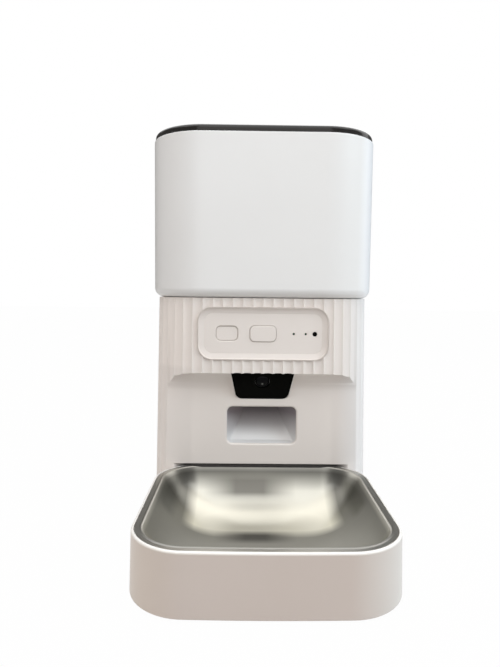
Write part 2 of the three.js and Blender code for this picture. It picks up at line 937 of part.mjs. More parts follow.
function rotorHousing() {
  const innerRadius = rotor.housingRadius - rotor.housingWall;
  const aroundRotor = (radius, lowZ, highZ) => upright(radius, lowZ, highZ, 0, rotorY, largeSides);
  const flange = aroundRotor(rotor.flangeRadius, hopperBottom, housingTop);
  const cup = aroundRotor(rotor.housingRadius, housingBottom, hopperBottom + fitGap);
  const hollow = aroundRotor(innerRadius, housingBottom + rotor.floor, housingTop + overrun);
  const shaftHole = shaftBore(housingBottom - overrun, housingTop);
  const drop = block(
    -chute.neckHalf, rotorY - rotor.dropFront, housingBottom - overrun,
    chute.neckHalf, rotorY - rotor.dropBack, housingBottom + rotor.floor + overrun,
  );
  return cut(join(flange, cup), hollow, shaftHole, drop);
}

const vaneBottom = housingBottom + rotor.floor + rotor.vaneGap;
const vaneTop = vaneBottom + rotor.vaneHeight;

function feedRotor() {
  const vaneReach = rotor.housingRadius - rotor.housingWall - rotor.vaneGap;
  let solid = upright(rotor.hubRadius, vaneBottom, vaneTop, 0, rotorY);
  for (let vane = 0; vane < rotor.vaneCount; vane += 1) {
    const geometry = new THREE.BoxGeometry(vaneReach, rotor.vaneThick, rotor.vaneHeight);
    geometry.translate(vaneReach / 2, 0, (vaneBottom + vaneTop) / 2);
    geometry.rotateZ((2 * Math.PI * vane) / rotor.vaneCount);
    geometry.translate(0, rotorY, 0);
    solid = join(solid, toSolid(geometry));
  }
  return cut(solid, shaftBore(vaneBottom - overrun, vaneTop - rotor.vaneThick));
}

function portionBaffle() {
  const bottom = vaneTop + rotor.vaneGap - fitGap;
  const radius = rotor.housingRadius - rotor.housingWall - fitGap;
  const disc = upright(radius, bottom, bottom + rotor.baffleThick, 0, rotorY, largeSides);
  const backHalf = block(
    -hopper.width, rotorY - rotor.baffleEdge, bottom - overrun,
    hopper.width, rotorY + hopper.depth, bottom + overrun,
  );
  return cut(disc, backHalf);
}

function rotorShaft() {
  const shaftBottom = caseFloorTop + fitGap;
  return upright(rotor.shaftRadius, shaftBottom, housingBottom + rotor.shaftAbove, 0, rotorY, smallSides);
}

function driveGear() {
  const outline = gearOutline(gears.drivenTeeth, gears.module, gears.toothShare, gears.drivenTeeth / 4);
  const disc = prism(shifted(outline, 0, rotorY), gearBottom, gearTop);
  return cut(disc, shaftBore(gearBottom - overrun, gearTop + overrun));
}

function motorPinion() {
  const turnShare = 1 / 2 - gears.pinionTeeth / 4;
  const outline = gearOutline(gears.pinionTeeth, gears.module, gears.toothShare, turnShare);
  const stub = upright(gears.stubRadius, gearBottom - gears.stubLength, gearTop, 0, motorY, smallSides);
  return join(prism(shifted(outline, 0, motorY), gearBottom, gearTop), stub);
}

function gearboxCase() {
  const tipSpace = gears.module + gears.caseGap;
  const drivenRadius = (gears.drivenTeeth * gears.module) / 2 + tipSpace;
  const pinionRadius = (gears.pinionTeeth * gears.module) / 2 + tipSpace;
  const top = housingBottom - fitGap;
  const outer = join(
    upright(drivenRadius + gears.caseWall, caseBottom, top, 0, rotorY, middleSides),
    upright(pinionRadius + 2 * gears.caseWall, caseBottom, top, 0, motorY, middleSides),
  );
  const hollow = join(
    upright(drivenRadius, caseFloorTop, top + overrun, 0, rotorY, middleSides),
    upright(pinionRadius, caseFloorTop, top + overrun, 0, motorY, middleSides),
  );
  const neckHole = upright(motor.neckRadius + fitGap, caseBottom - overrun, top, 0, motorY, smallSides);
  return cut(outer, hollow, neckHole);
}

function gearMotor() {
  const top = caseBottom - fitGap;
  const bottom = top - motor.length;
  const stubEnd = gearBottom - gears.stubLength - fitGap;
  const stubHole = upright(gears.stubRadius + fitGap, stubEnd, top + overrun, 0, motorY, smallSides);
  const can = turned([
    [0, bottom],
    [motor.endCapRadius, bottom],
    [motor.radius, bottom + motor.endCap],
    [motor.radius, top],
    [motor.neckRadius, top],
    [motor.neckRadius, top + motor.neckLength],
    [0, top + motor.neckLength],
  ], 0, motorY);
  return cut(can, stubHole);
}

// The chute's cross-sections, from the outlet in the wall up to the rotor, each as front and back edges
function foodChute() {
  const base = outletBottom;
  const outletY = wallBackY + fitGap;
  const mouthHeight = housingBottom - fitGap;
  const sections = [
    [outlet.width / 2, outletY, base + outlet.height, outletY, base],
    [chute.shoulderHalf, frontY + chute.shoulderSetback, base + chute.shoulderRise,
      frontY + chute.rampStartSetback, base + chute.rampStartRise],
    [chute.neckHalf, frontY + chute.bendFrontSetback, base + chute.bendFrontRise,
      frontY + chute.bendBackSetback, base + chute.bendBackRise],
    [chute.neckHalf, rotorY - rotor.dropFront, mouthHeight, rotorY - rotor.dropBack, mouthHeight],
  ];
  const quad = ([half, roofY, roofZ, rampY, rampZ], grow) => {
    const roof = new THREE.Vector2(roofY, roofZ);
    const ramp = new THREE.Vector2(rampY, rampZ);
    const across = roof.clone().sub(ramp).normalize().multiplyScalar(grow);
    roof.add(across);
    ramp.sub(across);
    return [
      new THREE.Vector3(-half - grow, ramp.x, ramp.y),
      new THREE.Vector3(half + grow, ramp.x, ramp.y),
      new THREE.Vector3(half + grow, roof.x, roof.y),
      new THREE.Vector3(-half - grow, roof.x, roof.y),
    ];
  };
  const outer = loft(sections.map((section) => quad(section, chute.wall)));
  const innerRings = sections.map((section) => quad(section, 0));
  const atWall = quad(sections[0], 0).map((point) => point.add(new THREE.Vector3(0, -overrun, 0)));
  const atMouth = quad(sections[3], 0).map((point) => point.add(new THREE.Vector3(0, 0, overrun)));
  const inner = loft([atWall, ...innerRings, atMouth]);
  const flangeOutline = roundedRectangle(
    outlet.width + 2 * chute.flange,
    outlet.height + 2 * chute.flange,
    outlet.cornerRadius,
    0,
    outletMiddle,
  );
  const flange = prismAlongY(flangeOutline, outletY, outletY + chute.flangeThick);
  return cut(join(outer, flange), inner);
}

const panelFaceY = frontY + tower.topInset - towerGrowth(panelHeight) + panel.depth;
const plateBackY = panelFaceY + panel.thick;
const panelBlockY = plateBackY + fitGap + panel.backThick;

function panelRectangle(grow) {
  const width = panel.width - 2 * panel.bevel + 2 * grow;
  const height = panel.height - 2 * panel.bevel + 2 * grow;
  const radius = panel.cornerRadius - panel.bevel + grow;
  return roundedRectangle(width, height, radius, 0, panelHeight, middleCornerSteps);
}

function ringAcrossY(outline, y) {
  return outline.map((point) => new THREE.Vector3(point.x, y, point.y));
}

// The smooth area round the battery door and the power inlet
function rearPadBlock(lowY, highY) {
  const top = rearPad.bottomHeight + rearPad.height;
  return block(-rearPad.width / 2, lowY, rearPad.bottomHeight, rearPad.width / 2, highY, top);
}

function towerOuter() {
  const ridgeInset = (height) => tower.topInset - towerGrowth(height);
  const column = loft([
    ringAt(flutedOutline(ridgeInset(footHeight)), footHeight),
    ringAt(flutedOutline(ridgeInset(towerTop)), towerTop),
  ]);
  const wedgeTop = (half, y) => new THREE.Vector3(half, y, podTopHeight + fitGap);
  const wedgeLow = (half, y) => new THREE.Vector3(half, y, podBottomHeight - pod.rim);
  const [topHalf, lowHalf] = [pod.topHalf + pod.rim, pod.bottomHalf + pod.rim];
  const lowY = wallY + (pod.rim * podRun) / podRise;
  const highY = frontY + pod.topSetback;
  const wedge = loft([
    [
      wedgeLow(-lowHalf, lowY), wedgeLow(lowHalf, lowY),
      wedgeLow(lowHalf, wallBackY), wedgeLow(-lowHalf, wallBackY),
    ],
    [
      wedgeTop(-topHalf, highY), wedgeTop(topHalf, highY),
      wedgeTop(topHalf, wallBackY), wedgeTop(-topHalf, wallBackY),
    ],
  ]);
  return join(cut(column, rearPadBlock(padFaceY, padFaceY + overrun), recessSpace(0)), wedge);
}

function towerInner() {
  const room = loft([
    ringAt(bodyOutline(tower.topInset + wall - towerGrowth(footHeight)), footHeight - overrun),
    ringAt(bodyOutline(tower.topInset + wall), towerTop - tower.deck),
  ]);
  const slotWall = prism(trayOutline(-slot.sideGap - wall), -overrun, slotTop + wall);
  const podBack = prismOnPod(podOutline(pod.backRim, 0), pod.slab, 0);
  const [blockX, blockZ] = [panel.width / 2 + panel.blockMargin, panel.height / 2 + panel.blockMargin];
  const panelBlock = block(
    -blockX, frontY - overrun, panelHeight - blockZ,
    blockX, panelBlockY, panelHeight + blockZ,
  );
  const padBack = rearPadBlock(padInnerY, padFaceY + overrun);
  return cut(room, recessSpace(wall), slotWall, podBack, panelBlock, padBack);
}

function screwPlaces() {
  const x = hopper.width / 2 - basePlate.screwFromSide;
  const setbacks = [basePlate.screwFromFront, hopper.depth - basePlate.screwFromRear];
  return setbacks.flatMap((setback) => [-1, 1].map((side) => [side * x, frontY + setback]));
}

function mainBoardPosts() {
  const left = mainBoard.x - mainBoard.width / 2 + mainBoard.postInset;
  const right = mainBoard.x + mainBoard.width / 2 - mainBoard.postInset;
  const low = mainBoard.bottomHeight + mainBoard.postInset;
  const high = mainBoard.bottomHeight + mainBoard.height - mainBoard.postInset;
  return [[left, low], [right, low], [left, high], [right, high]];
}

const rearInnerY = frontY + hopper.depth - tower.topInset - wall;
const padFaceY = frontY + hopper.depth - tower.topInset + towerGrowth(rearPad.bottomHeight + rearPad.height);
const padInnerY = padFaceY - rearPad.depth;
const boardFaceY = rearInnerY - mainBoard.postLength;
const boxHalf = 3 * battery.cellRadius + 2 * battery.cellGap + battery.boxWall;
const boxBottom = plateTop + fitGap;
const boxTop = boxBottom + 2 * (battery.cellRadius + battery.boxWall) + battery.cellGap;
const cellHeight = boxBottom + battery.boxWall + battery.cellRadius + battery.cellGap / 2;
const boxBackY = padInnerY;
const cellBackY = boxBackY - battery.doorRim - battery.nubLength - battery.cellGap;
const cellFrontY = cellBackY - battery.cellLength;
const boxFrontY = cellFrontY - battery.springSpace - battery.boxWall;
const speakerX = speaker.fromSide - hopper.width / 2;
const speakerY = (trayRearY + slot.sideGap + wall + boxFrontY) / 2 + speaker.behindMiddle;

function doorOutline(grow) {
  const low = boxBottom + battery.boxWall;
  const high = boxTop - battery.boxWall;
  const width = 2 * (boxHalf - battery.boxWall) + 2 * grow;
  const height = high - low + 2 * grow;
  return roundedRectangle(width, height, battery.doorMargin, 0, (low + high) / 2, smallCornerSteps);
}

const inletX = rearPad.width / 2 - inlet.fromPadSide;

function inletRod(radius, lowY, highY, sides = roundSides) {
  return level(radius, lowY, highY, inletX, inlet.height, sides);
}

function towerBosses() {
  const bossTop = plateTop + fitGap + basePlate.bossHeight;
  const bosses = screwPlaces().map(([x, y]) => {
    const boss = upright(basePlate.bossRadius, plateTop + fitGap, bossTop, x, y, smallSides);
    const wallX = Math.sign(x) * (hopper.width / 2 - tower.topInset + towerGrowth(bossTop) - wall / 2);
    const halfRib = basePlate.ribThick / 2;
    const [lowX, highX] = [Math.min(x, wallX), Math.max(x, wallX)];
    const rib = block(lowX, y - halfRib, plateTop + fitGap, highX, y + halfRib, bossTop);
    return join(boss, rib);
  });
  const posts = mainBoardPosts().map(([x, z]) => (
    level(mainBoard.postRadius, boardFaceY + fitGap, rearInnerY + towerGrowth(z) + wall / 2, x, z)
  ));
  return join(...bosses, ...posts);
}

function baseShell() {
  const shell = join(cut(towerOuter(), towerInner()), towerBosses());
  const dock = prism(trayOutline(-slot.sideGap), -overrun, slotTop);
  const pocketDepth = panel.depth + overrun;
  const outerGrow = panel.bevel + (panel.bevel * overrun) / panel.depth;
  const pocket = loft([
    ringAcrossY(panelRectangle(outerGrow), panelFaceY - pocketDepth),
    ringAcrossY(panelRectangle(0), panelFaceY),
  ]);
  const plateSeat = prismAlongY(panelRectangle(fitGap), panelFaceY - fitGap, plateBackY + fitGap);
  const plateOpening = prismAlongY(panelRectangle(-panel.seat), panelFaceY, panelBlockY + overrun);
  const windowSeat = prismOnPod(podOutline(fitGap, 0), pod.windowThick + fitGap, -overrun);
  const windowOpening = prismOnPod(podOutline(-pod.seatWidth, 0), 3 * overrun, 0);
  const outletHole = prismAlongY(
    roundedRectangle(outlet.width, outlet.height, outlet.cornerRadius, 0, outletMiddle),
    wallY - overrun,
    wallBackY + overrun,
  );
  const deckLow = towerTop - tower.deck - overrun;
  const deckHole = upright(rotor.housingRadius + fitGap, deckLow, towerTop + overrun, 0, rotorY, largeSides);
  const doorHole = prismAlongY(doorOutline(fitGap), padInnerY - overrun, padFaceY + overrun);
  const inletHole = inletRod(inlet.noseRadius + fitGap, padInnerY - overrun, padFaceY + overrun);
  const screwHoles = screwPlaces().map(([x, y]) => (
    upright(screw.shankRadius + fitGap, -overrun, plateTop + screw.length, x, y, smallSides)
  ));
  const tongueHoles = [-1, 1].map((side) => block(
    side * tray.tongueX - tray.tongueWidth / 2 - fitGap, trayRearY - overrun, tray.tongueHeight - fitGap,
    side * tray.tongueX + tray.tongueWidth / 2 + fitGap, trayRearY + tray.tongueLength + fitGap,
    tray.tongueHeight + tray.tongueThick + fitGap,
  ));
  return cut(
    shell, dock, pocket, plateSeat, plateOpening, windowSeat, windowOpening, outletHole,
    deckHole, doorHole, inletHole, ...screwHoles, ...tongueHoles,
  );
}

function controlPanel() {
  const plate = prismAlongY(panelRectangle(0), panelFaceY, plateBackY);
  const postEndY = panelBoardY - fitGap;
  const postStartY = plateBackY - panel.thick / 2;
  const posts = [-1, 1].flatMap((side) => [-1, 1].map((rise) => {
    const height = panelHeight + rise * panel.postRise;
    return level(panel.postRadius, postStartY, postEndY, side * panel.postX, height);
  }));
  const through = (outline) => prismAlongY(outline, panelFaceY - overrun, plateBackY + overrun);
  const hole = (radius, x) => level(radius, panelFaceY - overrun, plateBackY + overrun, x, panelHeight);
  return cut(
    join(plate, ...posts),
    through(buttonOutline(feedKey, fitGap)),
    through(buttonOutline(resetKey, fitGap)),
    hole(panel.smallHoleRadius, panel.micX),
    hole(panel.smallHoleRadius, panel.resetX),
    hole(panel.lampRadius + fitGap / 2, panel.lampX),
  );
}

function buttonOutline(key, grow) {
  const [width, height] = [key.width + 2 * grow, key.height + 2 * grow];
  return roundedRectangle(width, height, button.cornerRadius + grow, key.x, panelHeight, smallCornerSteps);
}

const flangeFrontY = plateBackY + fitGap;
const stemEndY = flangeFrontY + button.flangeThick + button.stemLength;
const panelBoardY = stemEndY + button.travel + button.switchGap + button.switchHeight;

function pushButton(key) {
  const cap = prismAlongY(buttonOutline(key, 0), panelFaceY - key.rise, flangeFrontY + fitGap);
  const flangeBackY = flangeFrontY + button.flangeThick;
  const flange = prismAlongY(buttonOutline(key, button.flange), flangeFrontY, flangeBackY);
  const stem = level(button.stemRadius, flangeFrontY, stemEndY, key.x, panelHeight);
  return join(cap, flange, stem);
}

function panelBoard() {
  const board = block(
    -panel.boardWidth / 2, panelBoardY, panelHeight - panel.boardHeight / 2,
    panel.boardWidth / 2, panelBoardY + panel.boardThick, panelHeight + panel.boardHeight / 2,
  );
  const half = button.switchSize / 2;
  const switches = [feedKey, resetKey].map((key) => block(
    key.x - half, panelBoardY - button.switchHeight, panelHeight - half,
    key.x + half, panelBoardY + panel.boardThick / 2, panelHeight + half,
  ));
  return join(board, ...switches);
}

function statusLamp() {
  return level(panel.lampRadius, panelFaceY + fitGap, panelBoardY - fitGap, panel.lampX, panelHeight);
}

function cameraWindow() {
  const plate = prismOnPod(podOutline(0, -fitGap), pod.windowThick, 0);
  return cut(plate, rodOnPod(camera.windowHole, pod.slab, -overrun));
}

const bracketDepth = pod.windowThick + fitGap;

function cameraBracket() {
  const plateOutline = podOutline(-pod.seatWidth - fitGap, -fitGap);
  const plate = prismOnPod(plateOutline, bracketDepth + camera.plateThick, bracketDepth);
  const collarRadius = camera.barrelRadius + fitGap + camera.barrelWall;
  const collar = rodOnPod(collarRadius, bracketDepth + 2 * camera.plateThick, bracketDepth);
  return cut(join(plate, collar), rodOnPod(camera.barrelRadius + fitGap, 3 * overrun, -overrun));
}

function lensBarrel() {
  const front = pod.windowThick + fitGap;
  const tube = rodOnPod(camera.barrelRadius, front + camera.barrelLength, front);
  return cut(tube, rodOnPod(camera.lensRadius + fitGap, front + camera.barrelLength / 2, -overrun));
}

function cameraLens() {
  const back = pod.windowThick + fitGap + camera.barrelLength / 2 - fitGap;
  const edge = camera.lensRise + fitGap;
  const profile = [new THREE.Vector2(0, -back), new THREE.Vector2(camera.lensRadius, -back)];
  camera.domeShares.forEach(([radiusShare, riseShare]) => {
    const reach = camera.lensRadius * radiusShare;
    profile.push(new THREE.Vector2(reach, -edge + camera.lensRise * riseShare));
  });
  const dome = new THREE.LatheGeometry(profile, roundSides);
  dome.rotateX(Math.PI / 2);
  dome.translate(0, camera.upFromBottom, 0);
  dome.applyMatrix4(podFrame);
  return toSolid(dome);
}

function cameraBoard() {
  const front = pod.windowThick + camera.barrelLength + 2 * fitGap;
  const outline = roundedRectangle(camera.boardWidth, camera.boardHeight, 0, 0, camera.upFromBottom);
  const chip = roundedRectangle(camera.chip, camera.chip, 0, 0, camera.upFromBottom);
  const back = front + camera.boardThick;
  const board = prismOnPod(outline, back, front);
  return join(board, prismOnPod(chip, back + camera.chipThick, back - camera.boardThick / 2));
}

function mainCircuit() {
  const left = mainBoard.x - mainBoard.width / 2;
  const right = mainBoard.x + mainBoard.width / 2;
  const top = mainBoard.bottomHeight + mainBoard.height;
  const faceY = boardFaceY - mainBoard.thick;
  const board = block(left, faceY, mainBoard.bottomHeight, right, boardFaceY, top);
  const onFace = (x, z, width, height, reach) => block(
    x, faceY - reach, z, x + width, faceY + mainBoard.thick / 2, z + height,
  );
  const middle = mainBoard.bottomHeight + mainBoard.height / 2;
  const plugLow = top - 2 * mainBoard.plugDepth;
  const plugLefts = [left + mainBoard.plugWidth, right - 2 * mainBoard.plugWidth];
  const plugs = plugLefts.map((x) => (
    onFace(x, plugLow, mainBoard.plugWidth, mainBoard.plugDepth, mainBoard.plugDepth)
  ));
  const capFrontY = faceY - mainBoard.capHeight;
  const capBackY = faceY + mainBoard.thick / 2;
  const capacitors = [-1, 1].map((side) => {
    const x = mainBoard.x + side * mainBoard.chip;
    return level(mainBoard.capRadius, capFrontY, capBackY, x, middle - mainBoard.chip);
  });
  return join(
    board,
    onFace(mainBoard.x, middle, mainBoard.chip, mainBoard.chip, mainBoard.chipThick),
    onFace(left + mainBoard.chip, middle, mainBoard.chip, mainBoard.chip / 2, mainBoard.chipThick),
    ...plugs,
    ...capacitors,
  );
}

function powerInlet() {
  const half = inlet.body / 2;
  const bodyBackY = padInnerY - fitGap;
  const noseBackY = padFaceY - fitGap;
  const boreEndY = noseBackY - inlet.boreDepth;
  const body = block(
    inletX - half, bodyBackY - inlet.bodyDepth, inlet.height - half,
    inletX + half, bodyBackY, inlet.height + half,
  );
  const nose = inletRod(inlet.noseRadius, bodyBackY - fitGap, noseBackY);
  const bore = inletRod(inlet.boreRadius, boreEndY, noseBackY + overrun);
  const pin = inletRod(inlet.pinRadius, boreEndY - inlet.pinRadius, noseBackY - inlet.pinRadius, smallSides);
  return join(cut(join(body, nose), bore), pin);
}

function floorPlate() {
  const inset = tower.topInset + wall + fitGap - towerGrowth(plateTop);
  const plate = cut(
    prism(bodyOutline(inset), footHeight, plateTop),
    recessSpace(wall + fitGap),
    prism(trayOutline(-slot.sideGap - wall - fitGap), -overrun, slotTop),
    rearPadBlock(padInnerY - fitGap, padFaceY + overrun),
  );
  const screwHoles = screwPlaces().map(([x, y]) => (
    upright(screw.shankRadius + fitGap, -overrun, plateTop + overrun, x, y, smallSides)
  ));
  const headSeats = screwPlaces().map(([x, y]) => (
    upright(screw.headRadius + fitGap, -overrun, footHeight + screw.headThick / 2, x, y, smallSides)
  ));
  const soundSlots = [];
  for (let index = 0; index < basePlate.slotCount; index += 1) {
    const x = speakerX + (index - (basePlate.slotCount - 1) / 2) * 2 * basePlate.slotWidth;
    const [halfWidth, halfLength] = [basePlate.slotWidth / 2, basePlate.slotLength / 2];
    soundSlots.push(block(
      x - halfWidth, speakerY - halfLength, -overrun,
      x + halfWidth, speakerY + halfLength, plateTop + overrun,
    ));
  }
  return cut(plate, ...screwHoles, ...headSeats, ...soundSlots);
}

// The head stays level with the plate's underside and the shank runs up into the boss
function baseScrew(x, y) {
  const seat = footHeight + screw.headThick / 2 - fitGap;
  const headBottom = seat - screw.headThick;
  const body = turned([
    [0, headBottom],
    [screw.headRadius, headBottom],
    [screw.headRadius, seat],
    [screw.shankRadius, seat],
    [screw.shankRadius, seat + screw.length],
    [0, seat + screw.length + screw.shankRadius],
  ], x, y, smallSides);
  const halfSlot = screw.slotWidth / 2;
  const reach = screw.slotLength / 2;
  const slotTopZ = headBottom + screw.slotDepth;
  return cut(body, block(x - reach, y - halfSlot, headBottom - overrun, x + reach, y + halfSlot, slotTopZ));
}

function rubberFoot(radius, x, y) {
  return upright(radius, 0, footHeight - fitGap, x, y);
}

function soundSpeaker() {
  const bottom = plateTop + fitGap;
  const rimTop = bottom + speaker.rimThick;
  return turned([
    [0, bottom + speaker.rimThick / 2],
    [speaker.radius - speaker.rimThick, bottom],
    [speaker.radius, bottom],
    [speaker.radius, rimTop],
    [speaker.magnetRadius, rimTop + speaker.rimThick],
    [speaker.magnetRadius, rimTop + speaker.magnetThick],
    [0, rimTop + speaker.magnetThick],
  ], speakerX, speakerY);
}

function batteryBox() {
  const outer = block(-boxHalf, boxFrontY, boxBottom, boxHalf, boxBackY - fitGap, boxTop);
  const inner = block(
    -boxHalf + battery.boxWall, boxFrontY + battery.boxWall, boxBottom + battery.boxWall,
    boxHalf - battery.boxWall, boxBackY + overrun, boxTop - battery.boxWall,
  );
  return cut(outer, inner);
}

function batteryCell(place) {
  const x = place * (2 * battery.cellRadius + battery.cellGap);
  const can = level(battery.cellRadius, cellFrontY, cellBackY, x, cellHeight, roundSides);
  const nubY = [cellBackY - battery.nubLength, cellBackY + battery.nubLength];
  return join(can, level(battery.nubRadius, ...nubY, x, cellHeight));
}

function batteryContacts() {
  const plateY = boxFrontY + battery.boxWall + fitGap;
  const cellPitch = 2 * battery.cellRadius + battery.cellGap;
  const halfWide = cellPitch + 2 * battery.nubRadius;
  const strip = block(
    -halfWide, plateY, cellHeight - battery.contactHeight / 2,
    halfWide, plateY + battery.contactThick, cellHeight + battery.contactHeight / 2,
  );
  const bumps = [-1, 0, 1].map((place) => (
    level(battery.nubRadius, plateY, cellFrontY - fitGap, place * cellPitch, cellHeight)
  ));
  return join(strip, ...bumps);
}

function batteryDoor() {
  const faceY = padFaceY;
  const plateFrontY = faceY - battery.doorThick;
  const plate = prismAlongY(doorOutline(0), plateFrontY, faceY);
  const rimFrontY = boxBackY - battery.doorRim;
  const rim = prismAlongY(doorOutline(-battery.doorMargin / 2), rimFrontY, faceY - battery.doorThick / 2);
  const hollow = prismAlongY(doorOutline(-battery.doorMargin), rimFrontY - overrun, plateFrontY);
  const thumbHeight = boxTop - 2 * battery.doorMargin - battery.thumbHeight;
  const thumb = prismAlongY(
    roundedRectangle(battery.thumbLength, battery.thumbHeight, 0, 0, thumbHeight),
    faceY - battery.doorThick / 2,
    faceY + battery.thumbRise,
  );
  return join(cut(join(plate, rim), hollow), thumb);
}

const trayLowestY = frontY - tray.reach + tray.frontBulge;
const stepFloor = tray.height - tray.stepDepth;
const bowlClipY = wallY - bowl.rearClearance;
const trayOpeningInset = tray.draft + tray.lip + bowl.rimGap + bowl.flangeWidth - 2 * fitGap;

function bowlTray() {
  const topRound = tray.edgeRound;
  const outer = loft([
    ringAt(trayOutline(0), footHeight),
    ringAt(trayOutline(tray.draft), tray.height - topRound),
    ringAt(trayOutline(tray.draft + topRound / 3), tray.height - topRound / 3),
    ringAt(trayOutline(tray.draft + topRound), tray.height),
  ]);
  const room = prism(trayOutline(tray.draft + tray.wall), footHeight - overrun, stepFloor - tray.ledgeThick);
  const step = prism(trayOutline(tray.draft + tray.lip), stepFloor, tray.height + overrun);
  const opening = prism(trayOutline(trayOpeningInset, bowl.leastCorner), footHeight, tray.height + overrun);
  const tongueTop = tray.tongueHeight + tray.tongueThick;
  const tongues = [-1, 1].map((side) => block(
    side * tray.tongueX - tray.tongueWidth / 2, trayRearY - tray.wall, tray.tongueHeight,
    side * tray.tongueX + tray.tongueWidth / 2, trayRearY + tray.tongueLength, tongueTop,
  ));
  return join(cut(outer, room, step, opening), ...tongues);
}

function trayFloor() {
  return prism(trayOutline(tray.draft + tray.wall + fitGap), footHeight, footHeight + tray.floor);
}

// The bowl's upper skin as [inset, height] steps: flange, rim arc, leaning side and foot arc
function bowlProfile() {
  const flangeTop = stepFloor + fitGap + bowl.sheet;
  const outerInset = tray.draft + tray.lip + bowl.rimGap;
  const innerInset = outerInset + bowl.flangeWidth;
  const floorTop = flangeTop - bowl.depth;
  const leanAngle = Math.atan(bowl.leanShare);
  const profile = [[outerInset, flangeTop]];
  for (let step = 0; step <= bowl.rimSteps; step += 1) {
    const angle = (Math.PI / 2 - leanAngle) * (step / bowl.rimSteps);
    const inset = innerInset + bowl.rimRound * Math.sin(angle);
    profile.push([inset, flangeTop - bowl.rimRound * (1 - Math.cos(angle))]);
  }
  const [sideInset, sideTop] = profile[profile.length - 1];
  const sideBottom = floorTop + bowl.floorRound * (1 - Math.sin(leanAngle));
  const footInset = sideInset + (sideTop - sideBottom) * bowl.leanShare;
  for (let step = 0; step <= bowl.floorSteps; step += 1) {
    const angle = leanAngle + (Math.PI / 2 - leanAngle) * (step / bowl.floorSteps);
    const inset = footInset + bowl.floorRound * (Math.cos(leanAngle) - Math.cos(angle));
    profile.push([inset, floorTop + bowl.floorRound * (1 - Math.sin(angle))]);
  }
  return profile;
}

function steelBowl() {
  const profile = bowlProfile();
  const ringFor = ([inset, height], drop) => {
    const moved = drop === 0 ? inset : inset - (inset > profile[1][0] ? bowl.sheet : 0);
    return ringAt(trayOutline(moved, bowl.leastCorner), height - drop);
  };
  const flangeOuter = trayOutline(profile[0][0], bowl.leastCorner);
  const flangeTop = profile[0][1];
  const flange = prism(flangeOuter, flangeTop - bowl.sheet, flangeTop);
  const insidePoints = profile.slice(1);
  const above = trayOutline(profile[1][0], bowl.leastCorner);
  const inside = loft([ringAt(above, flangeTop + overrun), ...insidePoints.map((step) => ringFor(step, 0))]);
  const outside = loft(insidePoints.map((step) => ringFor(step, bowl.sheet)));
  const behind = block(
    -tray.width, bowlClipY, -overrun,
    tray.width, trayRearY + overrun, tray.height + overrun,
  );
  return cut(join(flange, outside), inside, behind);
}

const colours = {
  gloss: { color: 0xe9e8e6, roughness: 0.22, metalness: 0 },
  satin: { color: 0xe6e3df, roughness: 0.42, metalness: 0 },
  black: { color: 0x0b0b0c, roughness: 0.08, metalness: 0 },
  darkGrey: { color: 0x3a3b3d, roughness: 0.55, metalness: 0 },
  rubber: { color: 0x2a2a2a, roughness: 0.85, metalness: 0 },
  steel: { color: 0xc4c1b8, roughness: 0.25, metalness: 1 },
  zinc: { color: 0xa9adb2, roughness: 0.35, metalness: 1 },
  glass: { color: 0x1a2230, roughness: 0.03, metalness: 0 },
  board: { color: 0x1f5a3a, roughness: 0.5, metalness: 0 },
  acetal: { color: 0xf2efe6, roughness: 0.4, metalness: 0 },
  silicone: { color: 0xd8d8d4, roughness: 0.6, metalness: 0 },
  cell: { color: 0x30343a, roughness: 0.35, metalness: 0.4 },
};

const feeder = new THREE.Group();

function addPiece(name, solid, finish) {
  const mesh = new THREE.Mesh(toGeometry(solid), new THREE.MeshStandardMaterial(finish));
  mesh.name = name;
  feeder.add(mesh);
}

addPiece('lid_cover', lidCover(), colours.black);
addPiece('lid_knob', lidKnob(), colours.black);
addPiece('lid_liner', lidLiner(), colours.satin);
addPiece('lid_seal', lidSeal(), colours.silicone);
addPiece('lid_bolt_right', lidBolt(1), colours.acetal);
addPiece('lid_bolt_left', lidBolt(-1), colours.acetal);
addPiece('desiccant_cap', desiccantCap(), colours.satin);
addPiece('hopper_shell', hopperShell(), colours.gloss);
addPiece('hopper_funnel', hopperFunnel(), colours.satin);
addPiece('rotor_housing', rotorHousing(), colours.satin);
addPiece('portion_baffle', portionBaffle(), colours.satin);
addPiece('feed_rotor', feedRotor(), colours.acetal);
addPiece('rotor_shaft', rotorShaft(), colours.zinc);
addPiece('drive_gear', driveGear(), colours.acetal);
addPiece('motor_pinion', motorPinion(), colours.acetal);
addPiece('gearbox_case', gearboxCase(), colours.darkGrey);
addPiece('gear_motor', gearMotor(), colours.zinc);
addPiece('food_chute', foodChute(), colours.satin);
addPiece('base_shell', baseShell(), colours.satin);
addPiece('control_panel', controlPanel(), colours.satin);
addPiece('feed_button', pushButton(feedKey), colours.satin);
addPiece('reset_button', pushButton(resetKey), colours.satin);
addPiece('panel_board', panelBoard(), colours.board);
addPiece('status_lamp', statusLamp(), colours.black);
addPiece('camera_window', cameraWindow(), colours.black);
addPiece('camera_bracket', cameraBracket(), colours.darkGrey);
addPiece('lens_barrel', lensBarrel(), colours.darkGrey);
addPiece('camera_lens', cameraLens(), colours.glass);
addPiece('camera_board', cameraBoard(), colours.board);
addPiece('main_board', mainCircuit(), colours.board);
addPiece('power_inlet', powerInlet(), colours.darkGrey);
addPiece('speaker', soundSpeaker(), colours.darkGrey);
addPiece('base_plate', floorPlate(), colours.satin);
screwPlaces().forEach(([x, y], index) => {
  addPiece(`base_screw_${index + 1}`, baseScrew(x, y), colours.zinc);
});
[-1, 1].forEach((side, column) => {
  const x = side * (hopper.width / 2 - basePlate.footFromSide);
  [basePlate.footFromFront, hopper.depth - basePlate.footFromRear].forEach((setback, row) => {
    const foot = rubberFoot(basePlate.footRadius, x, frontY + setback);
    addPiece(`base_foot_${2 * row + column + 1}`, foot, colours.rubber);
  });
});
